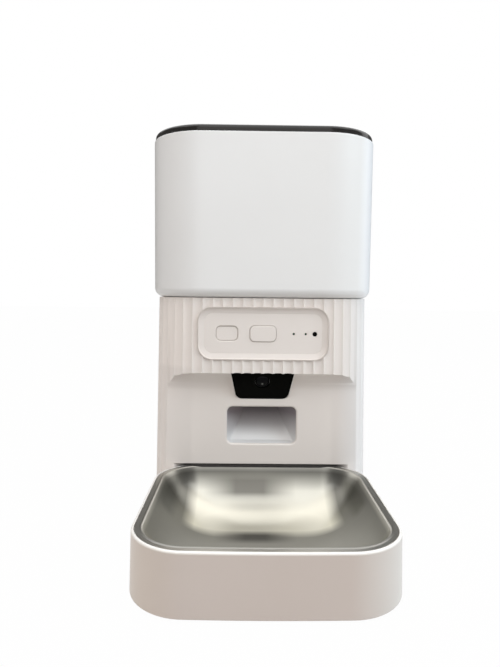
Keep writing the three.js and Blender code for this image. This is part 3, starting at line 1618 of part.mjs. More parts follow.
addPiece('battery_box', batteryBox(), colours.satin);
[-1, 0, 1].forEach((place) => {
  addPiece(`battery_cell_${place + 2}`, batteryCell(place), colours.cell);
});
addPiece('battery_contacts', batteryContacts(), colours.zinc);
addPiece('battery_door', batteryDoor(), colours.satin);
addPiece('bowl_tray', bowlTray(), colours.gloss);
addPiece('tray_floor', trayFloor(), colours.gloss);
[-1, 1].forEach((side, column) => {
  [trayLowestY + tray.footFrontInset, trayRearY - tray.footRearInset].forEach((y, row) => {
    const foot = rubberFoot(tray.footRadius, side * tray.footX, y);
    addPiece(`tray_foot_${2 * row + column + 1}`, foot, colours.rubber);
  });
});
addPiece('steel_bowl', steelBowl(), colours.steel);

export default feeder;
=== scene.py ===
import json
import math

import bmesh
import bpy
import numpy as np
from mathutils import Matrix, Vector


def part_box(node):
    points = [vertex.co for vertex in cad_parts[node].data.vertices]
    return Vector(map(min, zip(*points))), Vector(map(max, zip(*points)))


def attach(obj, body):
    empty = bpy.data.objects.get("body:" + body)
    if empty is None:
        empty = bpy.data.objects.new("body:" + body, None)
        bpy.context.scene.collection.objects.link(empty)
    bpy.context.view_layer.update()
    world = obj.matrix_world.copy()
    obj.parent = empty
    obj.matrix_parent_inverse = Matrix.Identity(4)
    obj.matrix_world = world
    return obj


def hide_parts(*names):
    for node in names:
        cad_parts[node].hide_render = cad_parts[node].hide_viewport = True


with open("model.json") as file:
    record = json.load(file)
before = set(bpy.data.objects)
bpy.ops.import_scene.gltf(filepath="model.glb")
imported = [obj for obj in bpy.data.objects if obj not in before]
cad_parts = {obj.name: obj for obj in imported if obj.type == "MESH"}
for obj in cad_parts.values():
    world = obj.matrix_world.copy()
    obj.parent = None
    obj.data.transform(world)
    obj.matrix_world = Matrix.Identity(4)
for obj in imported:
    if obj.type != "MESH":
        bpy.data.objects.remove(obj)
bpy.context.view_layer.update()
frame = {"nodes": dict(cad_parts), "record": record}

mm = 0.001  # lengths are in millimetres, except where a note says metres
past = 6.0  # how far most cutting shapes reach past the surface that they cut
overlap = 1.0  # how far joined solids reach into each other
bodyOf = {node: body for body, members in frame["record"]["behaviour"]["bodies"].items() for node in members}


def boxOf(node):
    # lowest and highest corner of a CAD node
    low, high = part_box(node)
    return np.array(low) / mm, np.array(high) / mm


hopperLow, hopperHigh = boxOf("hopper_shell")
trayLow, trayHigh = boxOf("bowl_tray")

body = {  # what the hopper, tower and lid share
    "width": hopperHigh[0] - hopperLow[0],
    "depth": hopperHigh[1] - hopperLow[1],
    "corner": 46.0,
    "middleY": (hopperHigh[1] + hopperLow[1]) / 2,
    "frontY": hopperLow[1],
    "bottom": hopperLow[2],
    "rim": hopperHigh[2],
    "wall": 2.5,
    "fit": 0.3,
}
rotorY = body["middleY"] + 5


def direction(angles):
    # (cos, sin) of each angle
    return np.stack([np.cos(angles), np.sin(angles)], -1)


def edgeArc(radius, count):
    # a quarter turn from (0, radius) to (radius, 0): radius * (1 - cos a) and radius * (1 - sin a)
    turns = np.linspace(0, math.pi / 2, count)
    return [(radius * (1 - math.cos(a)), radius * (1 - math.sin(a))) for a in turns]


def joinArcs(arcs, sidePoints):
    # the arcs in turn, joined by evenly split straight sides
    shares = np.arange(1, sidePoints + 1)[:, None] / (sidePoints + 1)
    ends = arcs[:, -1:]
    sides = ends + shares * (np.roll(arcs, -1, axis=0)[:, :1] - ends)
    return np.concatenate([arcs, sides], axis=1).reshape(-1, 2)


def roundedPlan(width, depth, radius, centreX=0.0, centreY=0.0, arcPoints=12, sidePoints=6):
    # a rounded rectangle: each corner is a quarter arc, the arc's centre plus radius times (cos, sin)
    centres = np.array([[-1, -1], [1, -1], [1, 1], [-1, 1]]) * [width / 2 - radius, depth / 2 - radius]
    angles = np.array([2, 3, 0, 1])[:, None] * math.pi / 2 + np.linspace(0, math.pi / 2, arcPoints)
    return joinArcs(centres[:, None] + radius * direction(angles), sidePoints) + [centreX, centreY]


def planOf(part, arcPoints=12):
    # a function of grow: the part's rounded rectangle, that much larger on all sides
    def grownPlan(grow):
        return roundedPlan(part["width"] + 2 * grow, part["tall"] + 2 * grow, part["corner"] + grow,
                           part["x"], part["middle"], arcPoints)
    return grownPlan


def roundedPolygon(corners):
    # corners are (x, y, radius); each arc touches both sides at radius / tan(half the corner's angle)
    corners = np.array(corners, float)
    spots, radii = corners[:, :2], corners[:, 2:]
    before = np.roll(spots, 1, axis=0) - spots
    after = np.roll(spots, -1, axis=0) - spots
    before = before / np.linalg.norm(before, axis=1, keepdims=True)
    after = after / np.linalg.norm(after, axis=1, keepdims=True)
    half = np.arccos((before * after).sum(1, keepdims=True)) / 2
    middle = (before + after) / np.linalg.norm(before + after, axis=1, keepdims=True)
    centres = spots + middle * radii / np.sin(half)
    start = spots + before * radii / np.tan(half) - centres
    end = spots + after * radii / np.tan(half) - centres
    first = np.arctan2(start[:, 1], start[:, 0])
    sweep = np.arctan2(start[:, 0] * end[:, 1] - start[:, 1] * end[:, 0], (start * end).sum(1))
    angles = first[:, None] + sweep[:, None] * np.linspace(0, 1, 8)
    return joinArcs(centres[:, None] + radii[:, None] * direction(angles), 3)


def bodyPlan(inset):
    # the hopper's plan drawn in by an inset
    width, depth = body["width"] - 2 * inset, body["depth"] - 2 * inset
    return roundedPlan(width, depth, body["corner"] - inset, 0, body["middleY"], 20, 10)


def planAt(shares, inset):
    # points and outward normals at shares of the body plan's length, counted from the middle of the front
    radius = body["corner"] - inset
    sideX, sideY = body["width"] / 2 - inset, body["depth"] / 2 - inset
    flatX, flatY = sideX - radius, sideY - radius
    quarter = math.pi / 2 * radius
    runs = np.array([flatX, quarter, 2 * flatY, quarter, 2 * flatX, quarter, 2 * flatY, quarter, flatX])
    ends = np.cumsum(runs)
    along = shares * ends[-1]
    run = np.minimum(np.searchsorted(ends, along), len(runs) - 1)
    left = along - (ends - runs)[run]
    turned = run // 2
    starts = np.array([[0, -sideY], [sideX, -flatY], [flatX, sideY], [-sideX, flatY], [-flatX, -sideY]])
    bends = np.array([[flatX, -flatY], [flatX, flatY], [-flatX, flatY], [-flatX, -flatY], [0, 0]])
    angle = turned * math.pi / 2
    bendFacing = direction(angle - math.pi / 2 + left / radius)
    straight = (run % 2 == 0)[:, None]
    onSides = starts[turned] + left[:, None] * direction(angle)
    points = np.where(straight, onSides, bends[turned] + radius * bendFacing)
    return points + [0, body["middleY"]], np.where(straight, direction(angle - math.pi / 2), bendFacing)


def circleLike(outline, radius, centreX, centreY):
    # the circle's point in the direction of each point of the outline, seen from the circle's centre
    angles = np.arctan2(outline[:, 1] - centreY, outline[:, 0] - centreX)
    return [centreX, centreY] + radius * direction(angles)


def circleAt(centreX, centreY, count=64):
    # a function of radius: points at radius times (cos, sin) about the centre
    angles = np.arange(count) * 2 * math.pi / count
    return lambda radius: [centreX, centreY] + radius * direction(angles)


def upright(outline, z):
    # an outline in X and Y, laid level at one height
    return np.column_stack([outline, np.full(len(outline), float(z))])


def across(outline, y):
    # an outline in X and Z, placed at one depth
    return np.column_stack([outline[:, 0], np.full(len(outline), float(y)), outline[:, 1]])


def addObject(name, data):
    # a new object at the origin, in the scene's own collection
    thing = bpy.data.objects.new(name, data)
    bpy.context.scene.collection.objects.link(thing)
    return thing


def shadeMesh(mesh, sharpAngle):
    # smooth faces, with an edge kept sharp where it bends by more than the angle in degrees
    mesh.polygons.foreach_set("use_smooth", np.ones(len(mesh.polygons), bool))
    mesh.set_sharp_from_angle(angle=math.radians(sharpAngle))


def loft(name, rings, closedLoop=False, sharpAngle=34.0):
    # rings of equally many points become a grid of quads; the ends are capped, or the last ring meets the
    # first; the faces are turned round if the volume, the sum of a . (b x c) over the triangles, is below 0
    rings = np.asarray(rings, float)
    points = rings.reshape(-1, 3)
    grid = np.arange(len(points)).reshape(rings.shape[:2])
    nextRow = np.roll(grid, -1, 0)
    quads = np.stack([grid, np.roll(grid, -1, 1), np.roll(nextRow, -1, 1), nextRow], -1)
    caps = []
    if not closedLoop:
        quads = quads[:-1]
        caps = [grid[0, ::-1], grid[-1]]
    quads = quads.reshape(-1, 4)
    triangles = [quads[:, [0, 1, 2]], quads[:, [0, 2, 3]]]
    triangles += [np.column_stack([np.full(len(cap) - 2, cap[0]), cap[1:-1], cap[2:]]) for cap in caps]
    a, b, c = np.moveaxis((points - points.mean(0))[np.concatenate(triangles)], 1, 0)
    if np.einsum("ij,ij->", a, np.cross(b, c)) < 0:
        quads = quads[:, ::-1]
        caps = [cap[::-1] for cap in caps]
    mesh = bpy.data.meshes.new(name)
    mesh.from_pydata((points * mm).tolist(), [], quads.tolist() + [cap.tolist() for cap in caps])
    mesh.update()
    shadeMesh(mesh, sharpAngle)
    return addObject(name, mesh)


def stack(name, lay, plan, steps, *rest):
    # the outline plan(size) laid at each (size, spot) step, and joined from step to step
    return loft(name, [lay(plan(size), spot) for size, spot in steps], *rest)


def prism(name, lay, outline, start, end):
    # one outline carried straight from start to end
    return loft(name, [lay(outline, start), lay(outline, end)])


def cutBlock(name, low, high):
    # a plain box between its lowest and highest corner
    plan = np.array([[low[0], low[1]], [high[0], low[1]], [high[0], high[1]], [low[0], high[1]]], float)
    return prism(name, upright, plan, low[2], high[2])


def carve(target, tools, operation="DIFFERENCE", sharpAngle=34.0):
    # each tool is taken from the target, or added to it, and the result becomes the target's own mesh
    for tool in tools:
        step = target.modifiers.new("carve", "BOOLEAN")
        step.operation = operation
        step.solver = "MANIFOLD"
        step.object = tool
    evaluated = target.evaluated_get(bpy.context.evaluated_depsgraph_get())
    mesh = bpy.data.meshes.new_from_object(evaluated)
    target.modifiers.clear()
    target.data = mesh
    shadeMesh(mesh, sharpAngle)
    for tool in tools:
        bpy.data.objects.remove(tool)
    return target


def place(piece, node, slot):
    # the piece stands for the CAD node, rides on its body and takes its finish from the record's slot
    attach(piece, bodyOf[node])
    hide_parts(node)
    piece.data.materials.clear()
    piece.data.materials.append(finishes[slot])
    return piece


def evenNormals(piece):
    # large faces set the shading, so that small rounded edges blend into them
    weights = piece.modifiers.new("evenNormals", "WEIGHTED_NORMAL")
    weights.keep_sharp = True
    weights.weight = 100
    return piece


def refineNode(node, slot, bevel):
    # a copy of a CAD node: doubles merged, flat faces joined, and its edges rounded by a small bevel
    mesh = frame["nodes"][node].data.copy()
    mesh.name = node + "_fine"
    shape = bmesh.new()
    shape.from_mesh(mesh)
    bmesh.ops.remove_doubles(shape, verts=shape.verts, dist=0.004 * mm)
    bmesh.ops.dissolve_limit(shape, angle_limit=math.radians(1.0), verts=shape.verts, edges=shape.edges)
    shape.to_mesh(mesh)
    shape.free()
    shadeMesh(mesh, 40)
    piece = addObject(node + "_fine", mesh)
    soften = piece.modifiers.new("soften", "BEVEL")
    soften.width = bevel * mm
    soften.segments = 2
    soften.limit_method = "ANGLE"
    soften.angle_limit = math.radians(42)
    return place(evenNormals(piece), node, slot)


def setSockets(tree, node, sockets):
    # each input takes a plain value, a link from an output, or a link from a node's first output in use
    for socket, value in sockets.items():
        if isinstance(value, bpy.types.Node):
            value = next(output for output in value.outputs if output.enabled)
        if isinstance(value, bpy.types.NodeSocket):
            tree.links.new(value, node.inputs[socket])
        else:
            node.inputs[socket].default_value = value


def addNode(tree, kind, sockets=(), **values):
    # a new shader node with its settings, and then its inputs
    node = tree.nodes.new(kind)
    for name, value in values.items():
        setattr(node, name, value)
    setSockets(tree, node, dict(sockets))
    return node


def compute(tree, operation, *values, kind="ShaderNodeMath"):
    # one step of shader arithmetic on the values, in order
    return addNode(tree, kind, dict(enumerate(values)), operation=operation)


def mix(tree, share, first, second, kind="RGBA"):
    # the first value where the share is 0, the second where it is 1
    return addNode(tree, "ShaderNodeMix", {"Factor": share, "A": first, "B": second}, data_type=kind)


def makeGroup(name, inputs, outputs):
    # an empty node group with its sockets listed by kind, and what its inputs give inside it
    group = bpy.data.node_groups.new(name, "ShaderNodeTree")
    for way, kinds in (("INPUT", inputs), ("OUTPUT", outputs)):
        for kind, sockets in kinds.items():
            for socket in sockets:
                group.interface.new_socket(name=socket, in_out=way, socket_type="NodeSocket" + kind)
    return group, addNode(group, "NodeGroupInput").outputs


def makeGrainGroup():
    # patches: slow noise, 0.3 to 0.7 spread over 0 to 1, mixes Colour and Shade; roughness: Roughness plus
    # Roughness Drift * (patches - 0.5); height: the slow noise and a fine grain mixed by Grain Share
    group, given = makeGroup("surfaceGrain", {
        "Vector": ["Vector"],
        "Color": ["Colour", "Shade"],
        "Float": ["Patch Scale", "Grain Scale", "Roughness", "Roughness Drift", "Grain Share"],
    }, {"Color": ["Colour"], "Float": ["Roughness", "Height"]})
    patches, grain = (addNode(group, "ShaderNodeTexNoise", {
        "Vector": given["Vector"], "Scale": given[scale], "Detail": detail})
        for scale, detail in (("Patch Scale", 3), ("Grain Scale", 2)))
    spread = addNode(group, "ShaderNodeMapRange", {"Value": patches, "From Min": 0.3, "From Max": 0.7})
    centred = compute(group, "SUBTRACT", spread, 0.5)
    addNode(group, "NodeGroupOutput", {
        "Colour": mix(group, spread, given["Colour"], given["Shade"]),
        "Roughness": compute(group, "MULTIPLY_ADD", centred, given["Roughness Drift"], given["Roughness"]),
        "Height": mix(group, given["Grain Share"], patches, grain, "FLOAT")})
    return group


def makeBoxGroup():
    # 1 inside a box and 0 outside: the distance past each of the six faces times Sharpness, held to 0..1,
    # and all of them multiplied together
    group, given = makeGroup("insideBox", {"Vector": ["Vector", "Low", "High", "Sharpness"]},
                             {"Float": ["Mask"]})

    def onVectors(operation, first, second):
        return compute(group, operation, first, second, kind="ShaderNodeVectorMath")

    held = []
    for first, second in [("Vector", "Low"), ("High", "Vector")]:
        sharp = onVectors("MULTIPLY", onVectors("SUBTRACT", given[first], given[second]), given["Sharpness"])
        held.append(onVectors("MINIMUM", onVectors("MAXIMUM", sharp, (0, 0, 0)), (1, 1, 1)))
    split = addNode(group, "ShaderNodeSeparateXYZ", {0: onVectors("MULTIPLY", *held)}).outputs
    flat = compute(group, "MULTIPLY", split["X"], split["Y"])
    addNode(group, "NodeGroupOutput", {"Mask": compute(group, "MULTIPLY", flat, split["Z"])})
    return group


grainGroup = makeGrainGroup()
boxGroup = makeBoxGroup()


def makeFinish(name, colour, shade, roughness, drift, patchScale, grainScale, grainShare, bumpDepth,
               bumpStrength, metallic=0.0, specular=0.5, coat=0.0, zones=()):
    # Principled BSDF fed by the grain group on Object coordinates, with the grain's height as a bump;
    # each zone holds a box's two corners and soft edge, and the two colours painted there, which stand in
    # for light, shade or reflection falling there
    material = bpy.data.materials.new(name)
    material.use_nodes = True
    tree = material.node_tree
    where = addNode(tree, "ShaderNodeTexCoord").outputs["Object"]
    tones = {"Colour": (*colour, 1), "Shade": (*shade, 1)}
    for low, high, softEdge, *inner in zones:
        mask = addNode(tree, "ShaderNodeGroup", {
            "Vector": where, "Low": [value * mm for value in low], "High": [value * mm for value in high],
            "Sharpness": [1 / (value * mm) for value in softEdge]}, node_tree=boxGroup)
        for socket, tone in zip(("Colour", "Shade"), inner):
            tones[socket] = mix(tree, mask, tones[socket], (*tone, 1))
    grain = addNode(tree, "ShaderNodeGroup", {
        "Vector": where, **tones, "Patch Scale": patchScale, "Grain Scale": grainScale,
        "Roughness": roughness, "Roughness Drift": drift, "Grain Share": grainShare}, node_tree=grainGroup)
    bump = addNode(tree, "ShaderNodeBump", {"Distance": bumpDepth * mm, "Strength": bumpStrength,
                                            "Height": grain.outputs["Height"]})
    setSockets(tree, tree.nodes["Principled BSDF"], {
        "Base Color": grain.outputs["Colour"], "Roughness": grain.outputs["Roughness"], "Normal": bump,
        "Metallic": metallic, "Specular IOR Level": specular, "Coat Weight": coat, "Coat Roughness": 0.05,
        "IOR": 1.46})
    return material


slotPaintedShade = [(0.20, 0.188, 0.18), (0.18, 0.168, 0.16)]  # painted shade: a darker colour for the plastic inside the slot between tray and tower, where shade falls

# after the two colours: roughness, its drift, patch scale, grain scale, grain share, bump depth and strength
finishes = {
    "hopper_white": makeFinish(
        "hopperWhite", (0.785, 0.78, 0.775), (0.765, 0.757, 0.75), 0.30, 0.05, 9, 1400, 0.6, 0.03, 0.12,
        # painted light: the hopper's right side lighter and cooler, as if lit from the right
        zones=[((80, -300, 0), (300, 300, 400), (14, 3, 3), (0.86, 0.885, 0.92), (0.84, 0.865, 0.90))]),
    "base_white": makeFinish(
        "baseWhite", (0.775, 0.72, 0.68), (0.755, 0.695, 0.655), 0.42, 0.06, 11, 2600, 0.8, 0.03, 0.22,
        zones=[
            # painted light: the tower's right side lighter and more neutral, as if lit from the right
            ((66, -300, -10), (300, 300, 400), (22, 3, 3), (0.785, 0.775, 0.775), (0.765, 0.75, 0.75)),
            # painted light: the fluted band's upper left front lighter, as if lit from the left front
            ((-300, -30, 131), (-50, 10, 200), (20, 8, 4), (0.835, 0.775, 0.73), (0.815, 0.75, 0.705)),
            # painted shade inside the slot between tray and tower
            ((-77, -5.95, 10), (77, 3.5, 46.2), (9, 0.15, 0.15), *slotPaintedShade)]),
    # painted shade: the same white plastic as the tower, given a darker and warmer colour for the dimmer
    # light near the floor
    "tray_white": makeFinish(
        "trayWhite", (0.58, 0.507, 0.464), (0.56, 0.485, 0.44), 0.34, 0.05, 9, 1500, 0.7, 0.03, 0.15,
        zones=[
            # painted light: the tray's left side lighter and warmer than its front middle
            ((-300, -200, -10), (-52, 20, 60), (40, 3, 3), (0.67, 0.585, 0.51), (0.65, 0.565, 0.49)),
            # painted light: the tray's right side lighter and more neutral than its front middle
            ((50, -200, -10), (300, 20, 60), (40, 3, 3), (0.68, 0.66, 0.63), (0.66, 0.64, 0.61)),
            # painted highlight: a lighter band along the top edge of the tray's lip
            ((-300, -200, 41.8), (300, 20, 60), (3, 3, 1.3), (0.86, 0.835, 0.80), (0.84, 0.815, 0.78)),
            # painted shade on the tray's rear inside the slot under the tower
            ((-77, -6.6, 30), (77, 10, 60), (9, 0.3, 0.3), *slotPaintedShade)]),
    "lid_black": makeFinish(
        "lidBlack", (0.012, 0.011, 0.011), (0.018, 0.016, 0.015), 0.16, 0.05, 18, 1200, 0.6, 0.02, 0.1,
        coat=0.6),
    "window_black": makeFinish(
        "windowBlack", (0.002, 0.002, 0.002), (0.004, 0.004, 0.0035), 0.12, 0.03, 40, 900, 0.6, 0.01, 0.08,
        specular=0.03),
    "lens_glass": makeFinish(
        "lensGlass", (0.004, 0.004, 0.005), (0.008, 0.008, 0.009), 0.05, 0.02, 160, 900, 0.5, 0.01, 0.02,
        specular=0.1, zones=[
            # painted highlight: a small lighter spot on the lens, standing in for a glint
            ((-1.2, -60, 117.6), (1.2, 60, 120), (1, 1, 1), (0.16, 0.16, 0.155), (0.12, 0.12, 0.115))]),
    "inner_plastic": makeFinish(
        "innerPlastic", (0.76, 0.75, 0.735), (0.72, 0.71, 0.70), 0.5, 0.08, 15, 2200, 0.8, 0.04, 0.3),
    "acetal": makeFinish(
        "naturalAcetal", (0.80, 0.775, 0.71), (0.77, 0.74, 0.67), 0.38, 0.07, 22, 1800, 0.6, 0.03, 0.2),
    "dark_plastic": makeFinish(
        "darkPlastic", (0.03, 0.03, 0.033), (0.045, 0.045, 0.05), 0.5, 0.1, 25, 2600, 0.85, 0.05, 0.4),
    "rubber_foot": makeFinish(
        "footRubber", (0.022, 0.022, 0.022), (0.04, 0.04, 0.04), 0.82, 0.1, 60, 3200, 0.85, 0.08, 0.5),
    "silicone": makeFinish(
        "sealSilicone", (0.66, 0.66, 0.64), (0.60, 0.60, 0.58), 0.55, 0.08, 30, 2400, 0.7, 0.03, 0.25),
    "bowl_steel": makeFinish(
        "bowlSteel", (0.56, 0.55, 0.51), (0.52, 0.51, 0.475), 0.34, 0.05, 16, 900, 0.85, 0.03, 0.12,
        metallic=1.0, zones=[
            # painted reflections, in order: the whole inside darker than the flange, darker left and right
            # sides, a bright patch of reflected light over the rear half of the floor, a darker patch high
            # at the rear, and a dark patch nearer the front
            ((-90, -170, 0), (90, 10, 42.4), (3, 3, 3), (0.29, 0.286, 0.262), (0.26, 0.256, 0.236)),
            ((-84, -76, 10), (-68, -12, 40), (5, 10, 5), (0.20, 0.2, 0.185), (0.18, 0.18, 0.165)),
            ((68, -76, 10), (84, -12, 40), (5, 10, 5), (0.20, 0.197, 0.175), (0.18, 0.177, 0.157)),
            ((-64, -73, 0), (64, 10, 40), (10, 12, 14), (1, 0.98, 0.88), (0.97, 0.95, 0.85)),
            ((-50, -27, 15), (30, 4, 42), (28, 8, 9), (0.31, 0.30, 0.27), (0.29, 0.28, 0.245)),
            ((-38, -84, 0), (26, -62, 20), (24, 8, 8), (0.10, 0.098, 0.09), (0.09, 0.088, 0.08))]),
    "zinc_steel": makeFinish(
        "zincSteel", (0.60, 0.62, 0.65), (0.48, 0.50, 0.53), 0.36, 0.14, 90, 1800, 0.6, 0.03, 0.25,
        metallic=1.0),
    "circuit_green": makeFinish(
        "circuitGreen", (0.015, 0.10, 0.045), (0.03, 0.17, 0.075), 0.35, 0.15, 260, 1500, 0.5, 0.05, 0.4,
        coat=0.3),
    "cell_wrap": makeFinish(
        "cellWrap", (0.035, 0.04, 0.05), (0.06, 0.065, 0.075), 0.3, 0.06, 50, 900, 0.5, 0.02, 0.2),
}
print("finishes made:", len(finishes))


hopper = {
    "bottomRound": 8.0,  # radius of the edge all round the underside
    "rimRound": 0.9,
    "rimBreak": 0.4,  # small bevel inside the rim
    "floor": 2.5,
    "floorSlope": 5.5,
    "slopeRise": 8.0,
    "ledgeWidth": 5.5,
    "ledgeThick": 3.0,
    "ledgeBelowRim": 8.0,
    "ledgeFillet": 0.5,
    "ledgeBreak": 0.6,
    "throat": 54.3,
}


def makeHopper():
    # one closed profile carried round the body plan: outside up, over the rim, down the inside to the throat
    bottom, rim, wall = body["bottom"], body["rim"], body["wall"]
    lower = [(inset, bottom + up) for up, inset in edgeArc(hopper["bottomRound"], 9)]
    rimArc = [(inset, rim - down) for inset, down in edgeArc(hopper["rimRound"], 5)]
    ledgeTop = rim - hopper["ledgeBelowRim"]
    ledgeBottom = ledgeTop - hopper["ledgeThick"]
    ledgeInset = wall + hopper["ledgeWidth"]
    floorTop = bottom + hopper["floor"]
    bevel, fillet, ledgeBreak = hopper["rimBreak"], hopper["ledgeFillet"], hopper["ledgeBreak"]
    inside = [(wall - bevel, rim), (wall, rim - bevel), (wall, ledgeTop + fillet), (wall + fillet, ledgeTop),
              (ledgeInset - ledgeBreak, ledgeTop), (ledgeInset, ledgeTop - ledgeBreak),
              (ledgeInset, ledgeBottom), (wall, ledgeBottom), (wall, floorTop + hopper["slopeRise"]),
              (wall + hopper["floorSlope"], floorTop)]
    rings = [upright(bodyPlan(inset), z) for inset, z in lower + rimArc + inside]
    throat = circleLike(bodyPlan(wall + hopper["floorSlope"]), hopper["throat"], 0, rotorY)
    rings += [upright(throat, floorTop), upright(throat, bottom)]
    return evenNormals(loft("hopper", rings, True))


place(makeHopper(), "hopper_shell", "hopper_white")
print("hopper made")


lid = {
    "inset": 1.0,
    "edgeRound": 3.5,
    "lowerBreak": 0.4,  # small bevel round the underside
    "hole": 20.0,
    "holeRound": 0.6,
    "holeBreak": 0.2,
}


def makeLidCover():
    # a closed profile: the rounded outer edge, the flat top, and the round hole for the knob
    low, high = boxOf("lid_cover")
    base, top = low[2], high[2]
    inset, lowerBreak, hole, edge = lid["inset"], lid["lowerBreak"], lid["hole"], lid["holeRound"]
    outer = [(inset + lowerBreak, base), (inset, base + lowerBreak)]
    outer += [(inset + inwards, top - down) for inwards, down in edgeArc(lid["edgeRound"], 9)]
    inner = [(hole + edge, top), (hole + 0.2 * edge, top - 0.3 * edge), (hole, top - edge),
             (hole, base + lid["holeBreak"]), (hole + lid["holeBreak"], base)]
    rings = [upright(bodyPlan(size), z) for size, z in outer]
    rings += [upright(circleLike(bodyPlan(inset), radius, 0, body["middleY"]), z) for radius, z in inner]
    return evenNormals(loft("lid", rings, True))


knob = {
    "disc": 23.0,
    "discThick": 2.0,
    "lowerBreak": 0.3,
    "upperBreak": 0.4,
    "grip": {"width": 37.0, "tall": 9.0, "corner": 3.0, "x": 0, "middle": body["middleY"]},
    "gripHeight": 5.4,
    "gripRound": 1.3,
    "shaft": 3.0,
    "wheelTop": 13.5,  # below the hopper's rim
    "wheelThick": 4.4,
    "teeth": 10,
    "module": 0.8,
    "rootDepth": 1.15,  # of a tooth, in modules
    "tipHeight": 0.85,
    "toothShare": 0.19,  # half a tooth's width and half its flank's, as shares of the pitch
    "flankShare": 0.09,
}


def gearPlan(centreX, centreY):
    # each tooth has a root and a tip point on both sides, at its half width plus and minus half a flank
    count, module, half, flank = knob["teeth"], knob["module"], knob["toothShare"], knob["flankShare"]
    root, tip = (count / 2 - knob["rootDepth"]) * module, (count / 2 + knob["tipHeight"]) * module
    reach = np.array([root, tip, tip, root])
    offset = np.array([-half - flank, -half + flank, half - flank, half + flank])
    angles = 2 * math.pi * (np.arange(count)[:, None] + count / 4 + offset) / count
    return (reach[:, None] * direction(angles)).reshape(-1, 2) + [centreX, centreY]


def makeKnob():
    # disc, bar grip with rounded top edges, shaft and toothed wheel, joined into one solid
    centreY, top = body["middleY"], body["rim"]
    bottom, gripTop, wheelTop = top - knob["discThick"], top + knob["gripHeight"], top - knob["wheelTop"]
    radius, lower, upper = knob["disc"], knob["lowerBreak"], knob["upperBreak"]
    disc = stack("knob", upright, circleAt(0, centreY, 72), [
        (radius - lower, bottom), (radius, bottom + lower), (radius, top - upper), (radius - upper, top)])
    steps = [(-inset, gripTop - down) for inset, down in edgeArc(knob["gripRound"], 6)]
    grip = stack("grip", upright, planOf(knob["grip"]), [(0, top - overlap)] + steps)
    shaft = prism("shaft", upright, circleAt(0, centreY, 32)(knob["shaft"]), wheelTop - 2, bottom + overlap)
    wheel = prism("wheel", upright, gearPlan(0, centreY), wheelTop - knob["wheelThick"], wheelTop)
    return evenNormals(carve(disc, [grip, shaft, wheel], "UNION"))


place(makeLidCover(), "lid_cover", "lid_black")
place(makeKnob(), "lid_knob", "lid_black")
print("lid and knob made")


tower = {
    "bottom": 2.0,
    "top": boxOf("base_shell")[1][2],
    "topInset": 4.0,
    "draft": 3.5,  # how far the walls lean out over the draft height
    "draftHeight": 190.7,
    "fluteCount": 78,
    "fluteDepth": 1.4,
    "fluteShape": 3.0,  # higher is flatter in the middle of a flute
    "fluteSteps": 10,
    "wallY": body["frontY"] + 17,
    "wallBackY": body["frontY"] + 17 + body["wall"],
    "cove": 17.0,
    "coveSteps": 20,
    "lip": 129.04,
    "deck": 2.4,
    "deckHole": 46.3,
    "dockGap": 1.2,  # space round the tray
    "dockTop": 46.0,
}


def towerInset(z):
    # how far the tower's walls stand in from the hopper's plan at a height
    return tower["topInset"] - tower["draft"] * (tower["top"] - z) / tower["draftHeight"]


pod = {  # the slanted camera nose under the fluted band
    "low": 104.24,
    "high": 128.74,
    "run": 12.8,
    "topHalf": 27.0,
    "bottomHalf": 22.4,
    "corner": 6.0,
    "rim": 1.2,
    "rimEdge": [(0.45, 0), (0.13, 0.12), (0, 0.45)],  # inset and depth of the rim's rounded edge
    "seat": 2.3,
    "lensUp": 18.0,
    "window": 2.0,
    "windowEdge": [(-0.5, 0.02), (-0.15, 0.12), (0, 0.45)],  # growth and depth of the window's edge
    "hole": 6.4,
    "roomBehind": 4.4,
}
pod["slant"] = math.hypot(pod["run"], pod["high"] - pod["low"])

panel = {
    "x": 0.0,
    "middle": 162.53,
    "width": 100.4,
    "tall": 34.0,
    "corner": 7.1,
    "bevel": 4.4,
    "depth": 2.5,
    "thick": 2.0,
    "gap": 0.02,
    "seat": 2.6,
    "frame": 1.5,  # flat band between the flutes and the pocket
    "frameRise": 0.3,
    "frameEdge": [(0.35, 0), (0.1, 0.1), (0, 0.35)],
    "grooveOuter": 0.3,
    "grooveWidth": 0.6,
    "grooveDepth": 0.8,
    # how much larger than the plate the pocket is, at each depth behind the flutes
    "pocket": [(4.75, -past), (4.75, 0.4), (4.4, 0.45), (4.3, 1.3), (4.0, 1.5), (1.0, 2.2), (0.4, 2.42),
               (0, 2.5)],
    "block": (57.6, 24.4, 2.3),  # half width, half height and depth behind the plate that stay solid
}
panel["faceY"] = body["frontY"] + towerInset(panel["middle"]) + panel["depth"]
panel["backY"] = panel["faceY"] + panel["thick"]
panelPost = {"x": 41, "up": 9, "radius": 2, "length": 6.6}
panelPlan = planOf(panel)

outlet = {
    "x": 0.0,
    "middle": 80.6,
    "width": 61.0,
    "tall": 32.9,
    "corner": 5.0,
    "lipRound": 1.7,
}

rearPad = {
    "half": 62.0,
    "low": 4.0,
    "high": 78.0,
    "wall": 3.0,
}
rearPad["faceY"] = body["frontY"] + body["depth"] - towerInset(rearPad["high"])

door = {
    "x": 0.0,
    "middle": 24.1,
    "width": 104.8,
    "tall": 34.6,
    "corner": 3.0,
    "thick": 2.4,
    "gap": 0.15,
    "rimDepth": 5.0,
    "thumb": {"width": 26.0, "tall": 2.0, "corner": 0.9, "x": 0, "middle": boxOf("battery_door")[1][2] - 6},
    "thumbRise": 0.6,
}
doorPlan = planOf(door)

inlet = {
    "centre": (42.0, 62.0),
    "hole": 5.75,
    "body": 12.0,
    "nose": 5.6,
    "bore": 3.2,
    "pin": 1.0,
}

